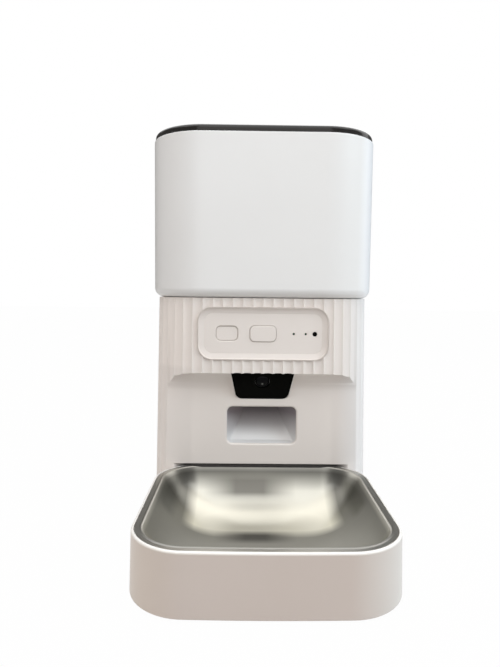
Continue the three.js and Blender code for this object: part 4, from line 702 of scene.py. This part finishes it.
tray = {
    "rearY": tower["wallY"] + 8,
    "half": trayHigh[0],
    "corner": 38.5,
    "bulge": 2.5,
    "top": 43.5,
    "draft": 1.0,
    "lip": 1.8,
    "wall": 2.2,
    "edgeRound": 1.6,
    "lowerEdge": [(0.5, 0), (0.12, 0.15), (0, 0.6)],  # inset and height
    "step": 1.5,
    "ledge": 2.5,
    "opening": 6.9,
    "openingCorner": 28.0,
    "tongue": {"x": 45.0, "half": 6.0, "low": 20.0, "high": 23.0, "reach": 9.0},
}
tray["reachY"] = trayLow[1] + tray["bulge"]


def flutedPlan(z):
    # the body plan pushed in by depth * (1 - |2t - 1| ^ shape), with t running 0 to 1 across each flute
    count, steps = tower["fluteCount"], tower["fluteSteps"]
    along = np.arange(count * steps) / steps
    points, normals = planAt(along / count, towerInset(z))
    hollow = tower["fluteDepth"] * (1 - np.abs(2 * (along % 1) - 1) ** tower["fluteShape"])
    return points - normals * hollow[:, None]


def trayPlan(inset, leastCorner=0.0):
    # a rounded rectangle whose front bows out by bulge * (1 - (x / half)^2), fading out over the corners
    half = tray["half"] - inset
    lowY, highY = tray["reachY"] + inset, tray["rearY"] - inset
    radius = max(tray["corner"] - inset, leastCorner)
    plan = roundedPlan(2 * half, highY - lowY, radius, 0, (lowY + highY) / 2, 20, 22)
    share = np.clip((lowY + radius - plan[:, 1]) / radius, 0, 1)
    plan[:, 1] -= tray["bulge"] * (1 - (plan[:, 0] / half) ** 2) * share
    return plan


def podOutline(grow, growTop=None):
    # the window's outline on the slant, narrower and rounded at the bottom, nearly sharp at the top
    top = pod["slant"] + (grow if growTop is None else growTop)
    radius, sharp = max(pod["corner"] + grow, body["fit"]), 0.05
    low, high = pod["bottomHalf"] + grow, pod["topHalf"] + grow
    corners = [(-low, -grow, radius), (low, -grow, radius), (high, top, sharp), (-high, top, sharp)]
    return roundedPolygon(corners)


def onPod(outline, depth):
    # across stays across; up runs along the slant, and depth goes in behind the slanted face
    lean, rise = pod["run"] / pod["slant"], (pod["high"] - pod["low"]) / pod["slant"]
    y = tower["wallY"] - outline[:, 1] * lean + depth * rise
    z = pod["low"] + outline[:, 1] * rise + depth * lean
    return np.column_stack([outline[:, 0], y, z])


def recessCutter(grow):
    # the space in front of the recessed wall: flat top, quarter-round cove, straight wall, carried along X
    radius = tower["cove"] + grow
    centre = [tower["wallY"] - tower["cove"], tower["lip"] - tower["cove"]]
    farY = body["frontY"] - 90
    arc = centre + radius * direction(np.linspace(math.pi / 2, 0, tower["coveSteps"] + 1))
    below = [[tower["wallY"] + grow, -past], [farY, -past]]
    outline = np.concatenate([[[farY, centre[1] + radius]], arc, below])
    sides = [np.column_stack([np.full(len(outline), x), outline]) for x in (-130.0, 130.0)]
    return loft("recess", sides)


def padBlock(name, inwards):
    # the slab at the tower's rear that leaves a flat pad, or the room kept clear behind it
    half, faceY = rearPad["half"], rearPad["faceY"]
    return cutBlock(name, (-half, faceY - inwards, rearPad["low"]), (half, faceY + past, rearPad["high"]))


def tongueBlocks(name, frontY, grow):
    # the two tongues that hold the tray in the tower, or the slots for them, larger by grow
    tongue = tray["tongue"]
    half, backY = tongue["half"] + grow, tray["rearY"] + tongue["reach"] + grow
    return [cutBlock(name, (side * tongue["x"] - half, frontY, tongue["low"] - grow),
                     (side * tongue["x"] + half, backY, tongue["high"] + grow)) for side in (-1, 1)]


def makeTower():
    # the fluted column gets its recess and camera nose, is hollowed like the CAD shell, and is cut open
    wall, fit, wallY, wallBackY = body["wall"], body["fit"], tower["wallY"], tower["wallBackY"]
    bottom, top, padY = tower["bottom"], tower["top"], rearPad["faceY"]
    shell = loft("tower", [upright(flutedPlan(z), z) for z in (bottom, top)])
    carve(shell, [recessCutter(0), padBlock("pad", 0)])

    nose = [onPod(podOutline(pod["rim"] - inset), depth) for inset, depth in pod["rimEdge"]]
    back = nose[-1].copy()
    back[:, 1] = wallBackY
    nose = loft("nose", nose + [back])
    carve(nose, [cutBlock("overTop", (-60, -60, tower["lip"] + 0.01), (60, 20, 170))])
    carve(shell, [nose], "UNION")

    room = loft("room", [upright(bodyPlan(towerInset(z) + wall), z - down)
                         for z, down in ((bottom - past, 0), (top, tower["deck"]))])
    gap, dockTop = tower["dockGap"], tower["dockTop"]
    slotWall = prism("slotWall", upright, trayPlan(-gap - wall), -8, dockTop + wall)
    podBack = prism("podBack", onPod, podOutline(3, 0), pod["roomBehind"], 0)
    faceY, backY = panel["faceY"], panel["backY"]
    half, halfTall, behind = panel["block"]
    panelBlock = cutBlock("panelBlock", (-half, body["frontY"] - past, panel["middle"] - halfTall),
                          (half, backY + behind, panel["middle"] + halfTall))
    carve(room, [recessCutter(wall), slotWall, podBack, panelBlock, padBlock("padBack", rearPad["wall"])])
    carve(shell, [room])

    surfaceY = faceY - panel["depth"]
    frameY = surfaceY - panel["frameRise"]
    band = panel["bevel"] + panel["frame"]
    frameSteps = [(band - inset, frameY + deep) for inset, deep in panel["frameEdge"]] + [(band, faceY)]
    carve(shell, [stack("frame", across, panelPlan, frameSteps)], "UNION")
    wide, bottomY = band - panel["grooveOuter"], frameY + panel["grooveDepth"]
    narrow = wide - panel["grooveWidth"]
    grooveSteps = [(narrow, frameY - 1), (wide, frameY - 1), (wide, bottomY), (narrow, bottomY)]
    carve(shell, [stack("groove", across, panelPlan, grooveSteps, True)])

    lip = outlet["lipRound"]
    outletSteps = [(lip + 0.25, wallY - 2)]
    outletSteps += [(grow, wallY - 0.02 + deep) for grow, deep in edgeArc(lip, 9)[::-1]]
    outletSteps += [(0, wallBackY + past)]
    return evenNormals(carve(shell, [
        prism("dock", upright, trayPlan(-gap), -8, dockTop),
        stack("pocket", across, panelPlan, [(grow, surfaceY + deep) for grow, deep in panel["pocket"]]),
        prism("plateSeat", across, panelPlan(panel["gap"]), faceY - fit, backY + fit),
        prism("plateOpening", across, panelPlan(-panel["seat"]), faceY, faceY + 14),
        prism("windowSeat", onPod, podOutline(0.12, 0.3), pod["seat"], -past),
        prism("windowOpening", onPod, podOutline(-2, 0), 18, 0),
        stack("outletHole", across, planOf(outlet), outletSteps),
        prism("deckHole", upright, circleAt(0, rotorY, 96)(tower["deckHole"]), top - 8, top + past),
        prism("doorHole", across, doorPlan(door["gap"]), padY - 9, padY + past),
        prism("inletHole", across, circleAt(*inlet["centre"])(inlet["hole"]), padY - 9, padY + past),
        *tongueBlocks("tongueHole", tray["rearY"] - past, fit)]))


place(makeTower(), "base_shell", "base_white")
print("tower made")


keys = {
    "feed_button": {"x": 0.0, "width": 22.2, "tall": 13.5, "rise": 0.8, "round": 0.65, "lip": 0.5},
    "reset_button": {"x": -30.8, "width": 18.4, "tall": 12.2, "rise": -0.9, "round": 0.5, "lip": 0.9},
}
for key in keys.values():
    key.update(corner=4.0, middle=panel["middle"])
keyGap = 0.22
keyFlange = {"width": 1.5, "thick": 1.2, "behind": 0.3, "stem": 3.0}
dots = [(26.1, 1.0), (36.4, 1.0)]  # x and radius of the small holes
statusLamp = {"x": 44.1, "radius": 1.9, "gap": 0.15}


def makePanel():
    # a plate with a soft front edge; each button hole is flared, as the moulding rolls into it
    faceY, backY, middle = panel["faceY"], panel["backY"], panel["middle"]
    plate = stack("controlPanel", across, panelPlan, [(-0.03, faceY), (0, faceY + 0.03), (0, backY)])
    wide, up, postEnd = panelPost["x"], panelPost["up"], backY + panelPost["length"]
    posts = [prism("post", across, circleAt(x, middle + z, 24)(panelPost["radius"]),
                   backY - overlap, postEnd) for x in (-wide, wide) for z in (-up, up)]
    carve(plate, posts, "UNION")
    tools = []
    for key in keys.values():
        steps = [(keyGap + key["lip"] + 0.2, faceY - 2)]
        steps += [(keyGap + grow, faceY - 0.01 + deep) for grow, deep in edgeArc(key["lip"], 6)[::-1]]
        tools.append(stack("keyHole", across, planOf(key, 10), steps + [(keyGap, backY + 2)]))
    for x, radius in dots + [(statusLamp["x"], statusLamp["radius"] + statusLamp["gap"])]:
        steps = [(radius + 0.4, faceY - 2), (radius + 0.15, faceY - 0.01), (radius, faceY + 0.2)]
        tools.append(stack("dotHole", across, circleAt(x, middle, 32), steps + [(radius, backY + 2)]))
    return evenNormals(carve(plate, tools))


def makeKey(name):
    # front face rounded into the sides, a wider flange behind the panel, and a stem
    key = keys[name]
    keyPlan, edge, wide = planOf(key, 10), key["round"], keyFlange["width"]
    frontY = panel["faceY"] - key["rise"]
    flangeY = panel["backY"] + keyFlange["behind"]
    flangeBack = flangeY + keyFlange["thick"]
    steps = [(-edge - 2.2, frontY - 0.02)] + [(-inset, frontY + deep) for deep, inset in edgeArc(edge, 6)]
    steps += [(0, flangeY), (wide, flangeY), (wide, flangeBack)]
    rings = [across(keyPlan(grow), y) for grow, y in steps]
    stem = circleLike(keyPlan(wide), keyFlange["stem"], key["x"], key["middle"])
    rings += [across(stem, y) for y in (flangeBack, flangeBack + 1)]
    return evenNormals(loft(name.replace("_button", "Key"), rings))


def makeStatusLamp():
    # a small round lens, set a little behind the panel's face
    radius, faceY = statusLamp["radius"], panel["faceY"]
    return stack("statusLamp", across, circleAt(statusLamp["x"], panel["middle"], 32), [
        (radius - 0.5, faceY + 0.3), (radius - 0.15, faceY + 0.4), (radius, faceY + 0.65),
        (radius, boxOf("status_lamp")[1][1])])


place(makePanel(), "control_panel", "base_white")
for name in keys:
    place(makeKey(name), name, "base_white")
place(makeStatusLamp(), "status_lamp", "window_black")
print("panel made")


camera = {
    "lens": 6.0,
    "rise": 1.6,
    "barrel": 7.0,
    "barrelLength": 11.0,
    "sunk": 0.3,  # the dome's top behind the slanted face
    "behind": 0.3,  # space between window and barrel, and between lens and bore
}
lensCircle = circleAt(0, pod["lensUp"])


def makeWindow():
    # a slab on the slanted face with a rounded edge and a hole for the lens
    slab = stack("cameraWindow", onPod, lambda grow: podOutline(grow, grow - 0.3),
                 pod["windowEdge"] + [(0, pod["window"])])
    hole = pod["hole"]
    steps = [(hole + 0.8, -2), (hole + 0.45, -0.01), (hole + 0.1, 0.35), (hole, 0.8), (hole, 5)]
    return evenNormals(carve(slab, [stack("lensHole", onPod, lensCircle, steps)]))


def makeLens():
    # a dome of radius * cos and rise * sin over a straight barrel seat
    edge = camera["rise"] + camera["sunk"]
    steps = [(camera["lens"], pod["window"] + camera["barrelLength"] / 2)]
    steps += [(camera["lens"] * math.cos(a), edge - camera["rise"] * math.sin(a))
              for a in np.linspace(0, 0.47 * math.pi, 12)]
    return stack("lens", onPod, lensCircle, steps, False, 60)


def makeBarrel():
    # a tube with a bevelled front edge, bored halfway for the lens
    radius, length, front = camera["barrel"], camera["barrelLength"], pod["window"] + camera["behind"]
    tube = stack("lensBarrel", onPod, lensCircle, [
        (radius - 0.7, front), (radius, front), (radius, front + length)])
    bore = prism("bore", onPod, lensCircle(camera["lens"] + camera["behind"]), -2, front + length / 2)
    return carve(tube, [bore])


place(makeWindow(), "camera_window", "window_black")
place(makeLens(), "camera_lens", "lens_glass")
place(makeBarrel(), "lens_barrel", "dark_plastic")
print("camera made")


chute = {
    "wall": 2.0,
    "outletY": tower["wallBackY"] + body["fit"],
    "flange": 3.0,
    "flangeThick": 2.0,
    "creaseRound": 1.2,
    # half width, then roof and ramp as depth behind the body's front and height over the outlet's bottom
    "bends": [(28, (24, 35), (27, 1)), (14, (33, 44), (50, 29))],
    "mouth": (14, -42, -22),  # half width, and the roof's and ramp's place from the rotor's axis
}


def chuteSections():
    # half width, roof (y, z) and ramp (y, z) of each cross-section, from the outlet up to the rotor
    base, front = outlet["middle"] - outlet["tall"] / 2, body["frontY"]
    half, roofY, rampY = chute["mouth"]
    mouthZ = boxOf("food_chute")[1][2]
    return [(outlet["width"] / 2, (chute["outletY"], base + outlet["tall"]), (chute["outletY"], base)),
            *[(wide, (front + roof[0], base + roof[1]), (front + ramp[0], base + ramp[1]))
              for wide, roof, ramp in chute["bends"]],
            (half, (rotorY + roofY, mouthZ), (rotorY + rampY, mouthZ))]


def chuteRing(section, grow, radius, shiftY=0.0, shiftZ=0.0):
    # a rounded rectangle stretched between the ramp edge and the roof edge of the section
    half, roof, ramp = section
    roof, ramp = np.array(roof, float), np.array(ramp, float)
    tall = np.linalg.norm(roof - ramp)
    up = (roof - ramp) / tall
    plan = roundedPlan(2 * (half + grow), tall + 2 * grow, max(radius + grow, 0.05), 0, tall / 2, 8, 4)
    return np.column_stack([plan[:, 0], ramp + plan[:, 1:] * up + [shiftY, shiftZ]])


def makeChute():
    # a tapering tube through the sections, with a flange at the outlet and an open bore
    sections, outletY = chuteSections(), chute["outletY"]
    radii = [outlet["corner"] - body["fit"]] + [chute["creaseRound"]] * 3
    outer = loft("chute", [chuteRing(section, chute["wall"], radius)
                           for section, radius in zip(sections, radii)])
    flangePlan = roundedPlan(outlet["width"] + 2 * chute["flange"], outlet["tall"] + 2 * chute["flange"],
                             outlet["corner"], 0, outlet["middle"])
    carve(outer, [prism("flange", across, flangePlan, outletY, outletY + chute["flangeThick"])], "UNION")
    rings = [chuteRing(sections[0], 0, radii[0], -past)]
    rings += [chuteRing(section, 0, radius) for section, radius in zip(sections, radii)]
    rings += [chuteRing(sections[3], 0, radii[3], 0, past)]
    return carve(outer, [loft("bore", rings)], "DIFFERENCE", 20)


foodChute = place(makeChute(), "food_chute", "inner_plastic")
foodChute.data.materials[0] = makeFinish(
    "chutePlastic", (0.74, 0.73, 0.725), (0.70, 0.69, 0.685), 0.5, 0.08, 15, 2200, 0.8, 0.04, 0.3, zones=[
        # painted shade: the chute turns dark from about 68 mm up, deep inside where little light reaches
        ((-60, -60, 68), (60, 200, 300), (1, 1, 22), (0.27, 0.235, 0.25), (0.24, 0.21, 0.225))])
print("chute made")


def makeTray():
    # outer wall with a rounded lip, hollow underneath, a sunk ledge for the bowl's flange, and two tongues
    top, edge, draft, lowest = tray["top"], tray["edgeRound"], tray["draft"], tower["bottom"]
    steps = [(inset, lowest + up) for inset, up in tray["lowerEdge"]]
    steps += [(draft / 2, (top - edge + lowest) / 2)]
    steps += [(draft + inset, top - down) for inset, down in edgeArc(edge, 7)]
    outer = stack("tray", upright, trayPlan, steps)
    stepFloor = top - tray["step"]
    carve(outer, [
        prism("room", upright, trayPlan(draft + tray["wall"]), -4, stepFloor - tray["ledge"]),
        prism("step", upright, trayPlan(draft + tray["lip"]), stepFloor, top + past),
        prism("opening", upright, trayPlan(tray["opening"], tray["openingCorner"]), lowest, top + past)])
    return evenNormals(carve(outer, tongueBlocks("tongue", tray["rearY"] - tray["wall"], 0), "UNION"))


place(makeTray(), "bowl_tray", "tray_white")
print("tray made")


bowl = {
    "flangeTop": 43.3,
    "outer": 3.1,
    "outerEdge": [(0.3, 0), (0, 0.35), (0, 0.75), (0.25, 1.0)],  # inset and depth
    "flange": 4.4,
    "sheet": 1.0,
    "rimRound": 1.6,
    "leanShare": 0.5,  # how far the side leans in for each millimetre down
    "floorRound": 54.0,
    "depth": 33.5,
    "leastCorner": 22.0,
    "bead": (1.3, 0.5),  # width and height of the rolled bead along the flange's inner edge
    "clipY": tower["wallY"] - 0.7,
}


def bowlRing(inset, z):
    # the tray's plan drawn in, with corners kept at least as round as the bowl's
    return upright(trayPlan(inset, bowl["leastCorner"]), z)


def bowlSkin(drop, shift):
    # rim: r * (sin a, -(1 - cos a)); side: a straight lean; foot: R * (cos lean - cos a, 1 - sin a); then
    # the floor; the upper skin, with no drop, has the bead: a rise by sin^2, then a fall over the rim
    lean = math.atan(bowl["leanShare"])
    top = bowl["flangeTop"] - drop
    inner = bowl["outer"] + bowl["flange"] - shift
    floorZ = top - bowl["depth"]
    small, large = bowl["rimRound"], bowl["floorRound"]
    rim = [(inner + small * math.sin(a), top - small * (1 - math.cos(a)))
           for a in np.linspace(0, math.pi / 2 - lean, 8)]
    sideInset, sideTop = rim[-1]
    sideBottom = floorZ + large * (1 - math.sin(lean))
    footInset = sideInset + (sideTop - sideBottom) * bowl["leanShare"]
    foot = [(footInset + large * (math.cos(lean) - math.cos(a)), floorZ + large * (1 - math.sin(a)))
            for a in np.linspace(lean, math.pi / 2, 22)]
    if drop == 0:
        wide, tall = bowl["bead"]
        rise = [(inner - wide + wide * s, top + tall * math.sin(s * math.pi / 2) ** 2)
                for s in (0, 0.25, 0.5, 0.75)]
        rim = rise + [(inset, z + tall * (1 - k / 7) ** 0.7) for k, (inset, z) in enumerate(rim)]
    rings = [bowlRing(inset, z) for inset, z in rim + foot]
    last = rings[-1]
    middle = last.mean(0)
    return rings + [middle + (last - middle) * [share, share, 0] for share in (0.82, 0.6, 0.35, 0.12)]


def makeBowl():
    # the upper skin inside out, the flange's outer edge and the lower skin, clipped at the tower's wall
    edge = [bowlRing(bowl["outer"] + inset, bowl["flangeTop"] - down) for inset, down in bowl["outerEdge"]]
    dish = loft("bowl", bowlSkin(0, 0)[::-1] + edge + bowlSkin(bowl["sheet"], bowl["sheet"]))
    return evenNormals(carve(dish, [cutBlock("behind", (-120, bowl["clipY"], -10), (120, 40, 80))]))


place(makeBowl(), "steel_bowl", "bowl_steel")
print("bowl made")


def makeDoor():
    # the plate with a soft edge, the rim behind it and a thumb ridge
    faceY = rearPad["faceY"]
    innerY, ridgeY = faceY - door["thick"], faceY + door["thumbRise"]
    plate = stack("batteryDoor", across, doorPlan, [
        (0, innerY), (0, faceY - 0.4), (-0.12, faceY - 0.1), (-0.4, faceY)])
    rim = prism("rim", across, doorPlan(-1.5), faceY - door["rimDepth"], faceY - 1.2)
    carve(rim, [prism("hollow", across, doorPlan(-3), faceY - door["rimDepth"] - 3, innerY)])
    thumb = stack("thumb", across, planOf(door["thumb"]), [
        (0, faceY - 1.2), (0, ridgeY - 0.3), (-0.3, ridgeY)])
    return evenNormals(carve(plate, [rim, thumb], "UNION"))


def makeInlet():
    # a square body behind the wall, and a round nose with a bore and a centre pin
    low, high = boxOf("power_inlet")
    noseBack, bodyBack = high[1], rearPad["faceY"] - 3.3
    circle, nose, bore, pin = circleAt(*inlet["centre"]), inlet["nose"], inlet["bore"], inlet["pin"]
    block = prism("powerInlet", across, roundedPlan(inlet["body"], inlet["body"], 1.0, *inlet["centre"]),
                  low[1], bodyBack)
    carve(block, [stack("nose", across, circle, [
        (nose, bodyBack - 0.3), (nose, noseBack - 0.4), (nose - 0.4, noseBack)])], "UNION")
    carve(block, [stack("bore", across, circle, [
        (bore, noseBack - 10), (bore, noseBack - 0.4), (bore + 0.6, noseBack + 0.2),
        (bore + 0.6, noseBack + 4)])])
    return evenNormals(carve(block, [stack("pin", across, circleAt(*inlet["centre"], 24), [
        (pin, noseBack - 11), (pin, noseBack - 1.4), (pin / 2, noseBack - 1)])], "UNION"))


place(makeDoor(), "battery_door", "base_white")
place(makeInlet(), "power_inlet", "dark_plastic")

footSizes = {"base_foot": 9.0, "tray_foot": 7.0}
for kind, radius in footSizes.items():
    for number in range(1, 5):
        node = f"{kind}_{number}"
        low, high = boxOf(node)
        footSteps = [(radius - 0.5, 0), (radius - 0.1, 0.2), (radius, 0.6), (radius, 1.7)]
        foot = stack(node + "_pad", upright, circleAt(*(low[:2] + high[:2]) / 2, 48), footSteps)
        place(foot, node, "rubber_foot")

fineNodes = {  # the CAD nodes whose shape is kept: slot and bevel
    "lid_liner": ("inner_plastic", 0.4),
    "lid_seal": ("silicone", 0.6),
    "lid_bolt_right": ("acetal", 0.25),
    "lid_bolt_left": ("acetal", 0.25),
    "desiccant_cap": ("inner_plastic", 0.3),
    "hopper_funnel": ("inner_plastic", 0.4),
    "rotor_housing": ("inner_plastic", 0.4),
    "portion_baffle": ("inner_plastic", 0.4),
    "feed_rotor": ("acetal", 0.4),
    "drive_gear": ("acetal", 0.15),
    "motor_pinion": ("acetal", 0.15),
    "gearbox_case": ("dark_plastic", 0.3),
    "base_plate": ("base_white", 0.3),
    "tray_floor": ("tray_white", 0.3),
    "battery_box": ("inner_plastic", 0.3),
    "camera_bracket": ("dark_plastic", 0.25),
    "camera_board": ("circuit_green", 0.15),
    "panel_board": ("circuit_green", 0.15),
    "main_board": ("circuit_green", 0.15),
    "rotor_shaft": ("zinc_steel", 0.3),
    "gear_motor": ("zinc_steel", 0.3),
    "speaker": ("dark_plastic", 0.3),
    "battery_contacts": ("zinc_steel", 0.3),
    **{f"base_screw_{number}": ("zinc_steel", 0.3) for number in range(1, 5)},
    **{f"battery_cell_{number}": ("cell_wrap", 0.3) for number in range(1, 4)},
}
for node, (slot, bevel) in fineNodes.items():
    refineNode(node, slot, bevel)
print("small parts made")


stage = {  # lengths in metres
    "floorHalf": 6.0,
    "floorHeight": -0.0004,
    "floorColour": (0.55, 0.53, 0.515),
    "floorGlow": 0.985,  # share of plain white that the camera sees; the rest keeps the shadow
    "skyLevel": 0.79,
    "skyColour": (1.0, 0.985, 0.97, 1),
    "lampAim": (0, 0, 0.25),
}


def emptyTree(owner):
    # the shader tree of a material or world, with nothing in it
    owner.use_nodes = True
    owner.node_tree.nodes.clear()
    return owner.node_tree


def seenRays(tree):
    # 1 for rays from the camera, mirrors and glass, which show the background, and 0 for those that light
    path = addNode(tree, "ShaderNodeLightPath").outputs
    seen = compute(tree, "MAXIMUM", path["Is Camera Ray"], path["Is Glossy Ray"])
    return compute(tree, "MAXIMUM", seen, path["Is Transmission Ray"])


def unevenTint(tree, scale, first, second):
    # slow noise between two close tones
    return mix(tree, addNode(tree, "ShaderNodeTexNoise", {"Scale": scale}), (*first, 1), (*second, 1))


def addCard(name, corners, material):
    # a flat stage piece, with its corners in metres
    mesh = bpy.data.meshes.new(name)
    mesh.from_pydata(corners, [], [(0, 1, 2, 3)])
    mesh.materials.append(material)
    card = addObject(name, mesh)
    return card


def makeFloor():
    # matte where it is lit and shaded, and mostly plain white where it is seen
    material = bpy.data.materials.new("paleFloor")
    tree = emptyTree(material)
    colour = stage["floorColour"]
    matte = addNode(tree, "ShaderNodeBsdfDiffuse",
                    {"Color": unevenTint(tree, 6, colour, [0.98 * value for value in colour])})
    glow = addNode(tree, "ShaderNodeEmission", {"Color": (1, 1, 1, 1)})
    share = compute(tree, "MULTIPLY", seenRays(tree), stage["floorGlow"])
    blend = addNode(tree, "ShaderNodeMixShader", {"Fac": share, 1: matte, 2: glow})
    addNode(tree, "ShaderNodeOutputMaterial", {"Surface": blend})
    half, z = stage["floorHalf"], stage["floorHeight"]
    addCard("floor", [(-half, -half, z), (half, -half, z), (half, half, z), (-half, half, z)], material)


def makeSky():
    # white for camera, mirror and glass rays, and a softer level for the light that falls on the object
    world = bpy.data.worlds.new("studio")
    bpy.context.scene.world = world
    tree = emptyTree(world)
    soft = addNode(tree, "ShaderNodeBackground", {
        "Color": stage["skyColour"], "Strength": stage["skyLevel"]})
    white = addNode(tree, "ShaderNodeBackground", {"Color": (1, 1, 1, 1), "Strength": 1.0})
    blend = addNode(tree, "ShaderNodeMixShader", {"Fac": seenRays(tree), 1: soft, 2: white})
    addNode(tree, "ShaderNodeOutputWorld", {"Surface": blend})


cards = {  # tone; in metres: both ends of the lower edge, low and high end, and the top's lean to the rear
    "frontCard": (0.58, (-0.38, -1.12), (0.38, -1.12), (0.2, 0.95), 0.08),
    "frontLeftCard": (0.10, (-1.2, -1.1), (-0.38, -1.1), (0.0, 1.9), 0),
    "frontRightCard": (0.10, (0.38, -1.1), (1.3, -1.1), (0.0, 1.9), 0),
    "leftCard": (0.12, (-1.2, -1.1), (-1.2, 1.0), (0.0, 1.6), 0),
    "rightCard": (0.14, (1.3, -1.1), (1.3, 0.1), (0.0, 1.6), 0),
    # painted reflection: wallCard and the two ceiling cards stand just in front of the tower's recessed wall
    # and cove and glow, so that the steel bowl mirrors a bright wall and ceiling there
    "wallCard": (1.12, (-0.062, -0.0066), (0.062, -0.0066), (0.047, 0.127), 0),
    "ceilingLeftCard": (0.9, (-0.062, -0.007), (-0.03, -0.007), (0.108, 0.127), -0.015),
    "ceilingRightCard": (0.9, (0.03, -0.007), (0.062, -0.007), (0.108, 0.127), -0.015),
    "rearCard": (0.10, (-2.0, 1.1), (2.0, 1.1), (0.0, 1.1), 0),
}


def makeCards():
    # grey cards round the set, which only mirror-like surfaces show; each glows a little unevenly
    for name, (tone, start, end, (low, high), lean) in cards.items():
        material = bpy.data.materials.new(name + "Grey")
        tree = emptyTree(material)
        tint = unevenTint(tree, 5, (tone, 0.98 * tone, 0.94 * tone), (1.3 * tone, 1.28 * tone, 1.22 * tone))
        glow = addNode(tree, "ShaderNodeEmission", {"Color": tint})
        addNode(tree, "ShaderNodeOutputMaterial", {"Surface": glow})
        top = [(x, y + lean, high) for x, y in (end, start)]
        card = addCard(name, [(*start, low), (*end, low), *top], material)
        card.visible_camera = False
        card.visible_diffuse = False
        card.visible_shadow = False
        card.visible_transmission = False


lamps = {  # size and place in metres
    "overhead": {"size": 1.0, "power": 7.6, "colour": (1, 0.995, 0.985), "place": (0, -0.42, 1.25)},
    "rightKey": {"size": 0.6, "power": 5.7, "colour": (0.75, 0.9, 1), "place": (1, -0.5, 0.8)},
}


def makeLamps():
    # square lamps aimed at one spot, which mirror-like surfaces don't show
    for name, lamp in lamps.items():
        data = bpy.data.lights.new(name, "AREA")
        data.size = lamp["size"]
        data.energy = lamp["power"]
        data.color = lamp["colour"]
        light = addObject(name, data)
        light.location = lamp["place"]
        aim = Vector(stage["lampAim"]) - Vector(lamp["place"])
        light.rotation_euler = aim.to_track_quat("-Z", "Y").to_euler()
        light.visible_glossy = False


view = {
    "focal": 541.0,  # in pixels, as the frame's height is
    "frameHeight": 667,
    "place": (-16.1, -475.6, 198.0),
    "yaw": 0.0108,
    "pitch": -0.0769,
    "roll": 0.0111,
}


def makeCamera():
    # turned by roll about its own axis, tipped up from straight down by a quarter turn and the pitch, then
    # turned by yaw to the right
    turn = Matrix.Rotation(-view["yaw"], 4, "Z") @ Matrix.Rotation(math.pi / 2 + view["pitch"], 4, "X")
    data = bpy.data.cameras.new("photoView")
    data.sensor_width = 36
    data.lens = view["focal"] / view["frameHeight"] * data.sensor_width
    data.clip_start = 0.01
    eye = addObject("photoView", data)
    spot = Matrix.Translation(Vector(view["place"]) * mm)
    eye.matrix_world = spot @ turn @ Matrix.Rotation(view["roll"], 4, "Z")
    bpy.context.scene.camera = eye


makeFloor()
makeSky()
makeCards()
makeLamps()
makeCamera()
bpy.context.scene.view_settings.view_transform = "Standard"
print("stage made")
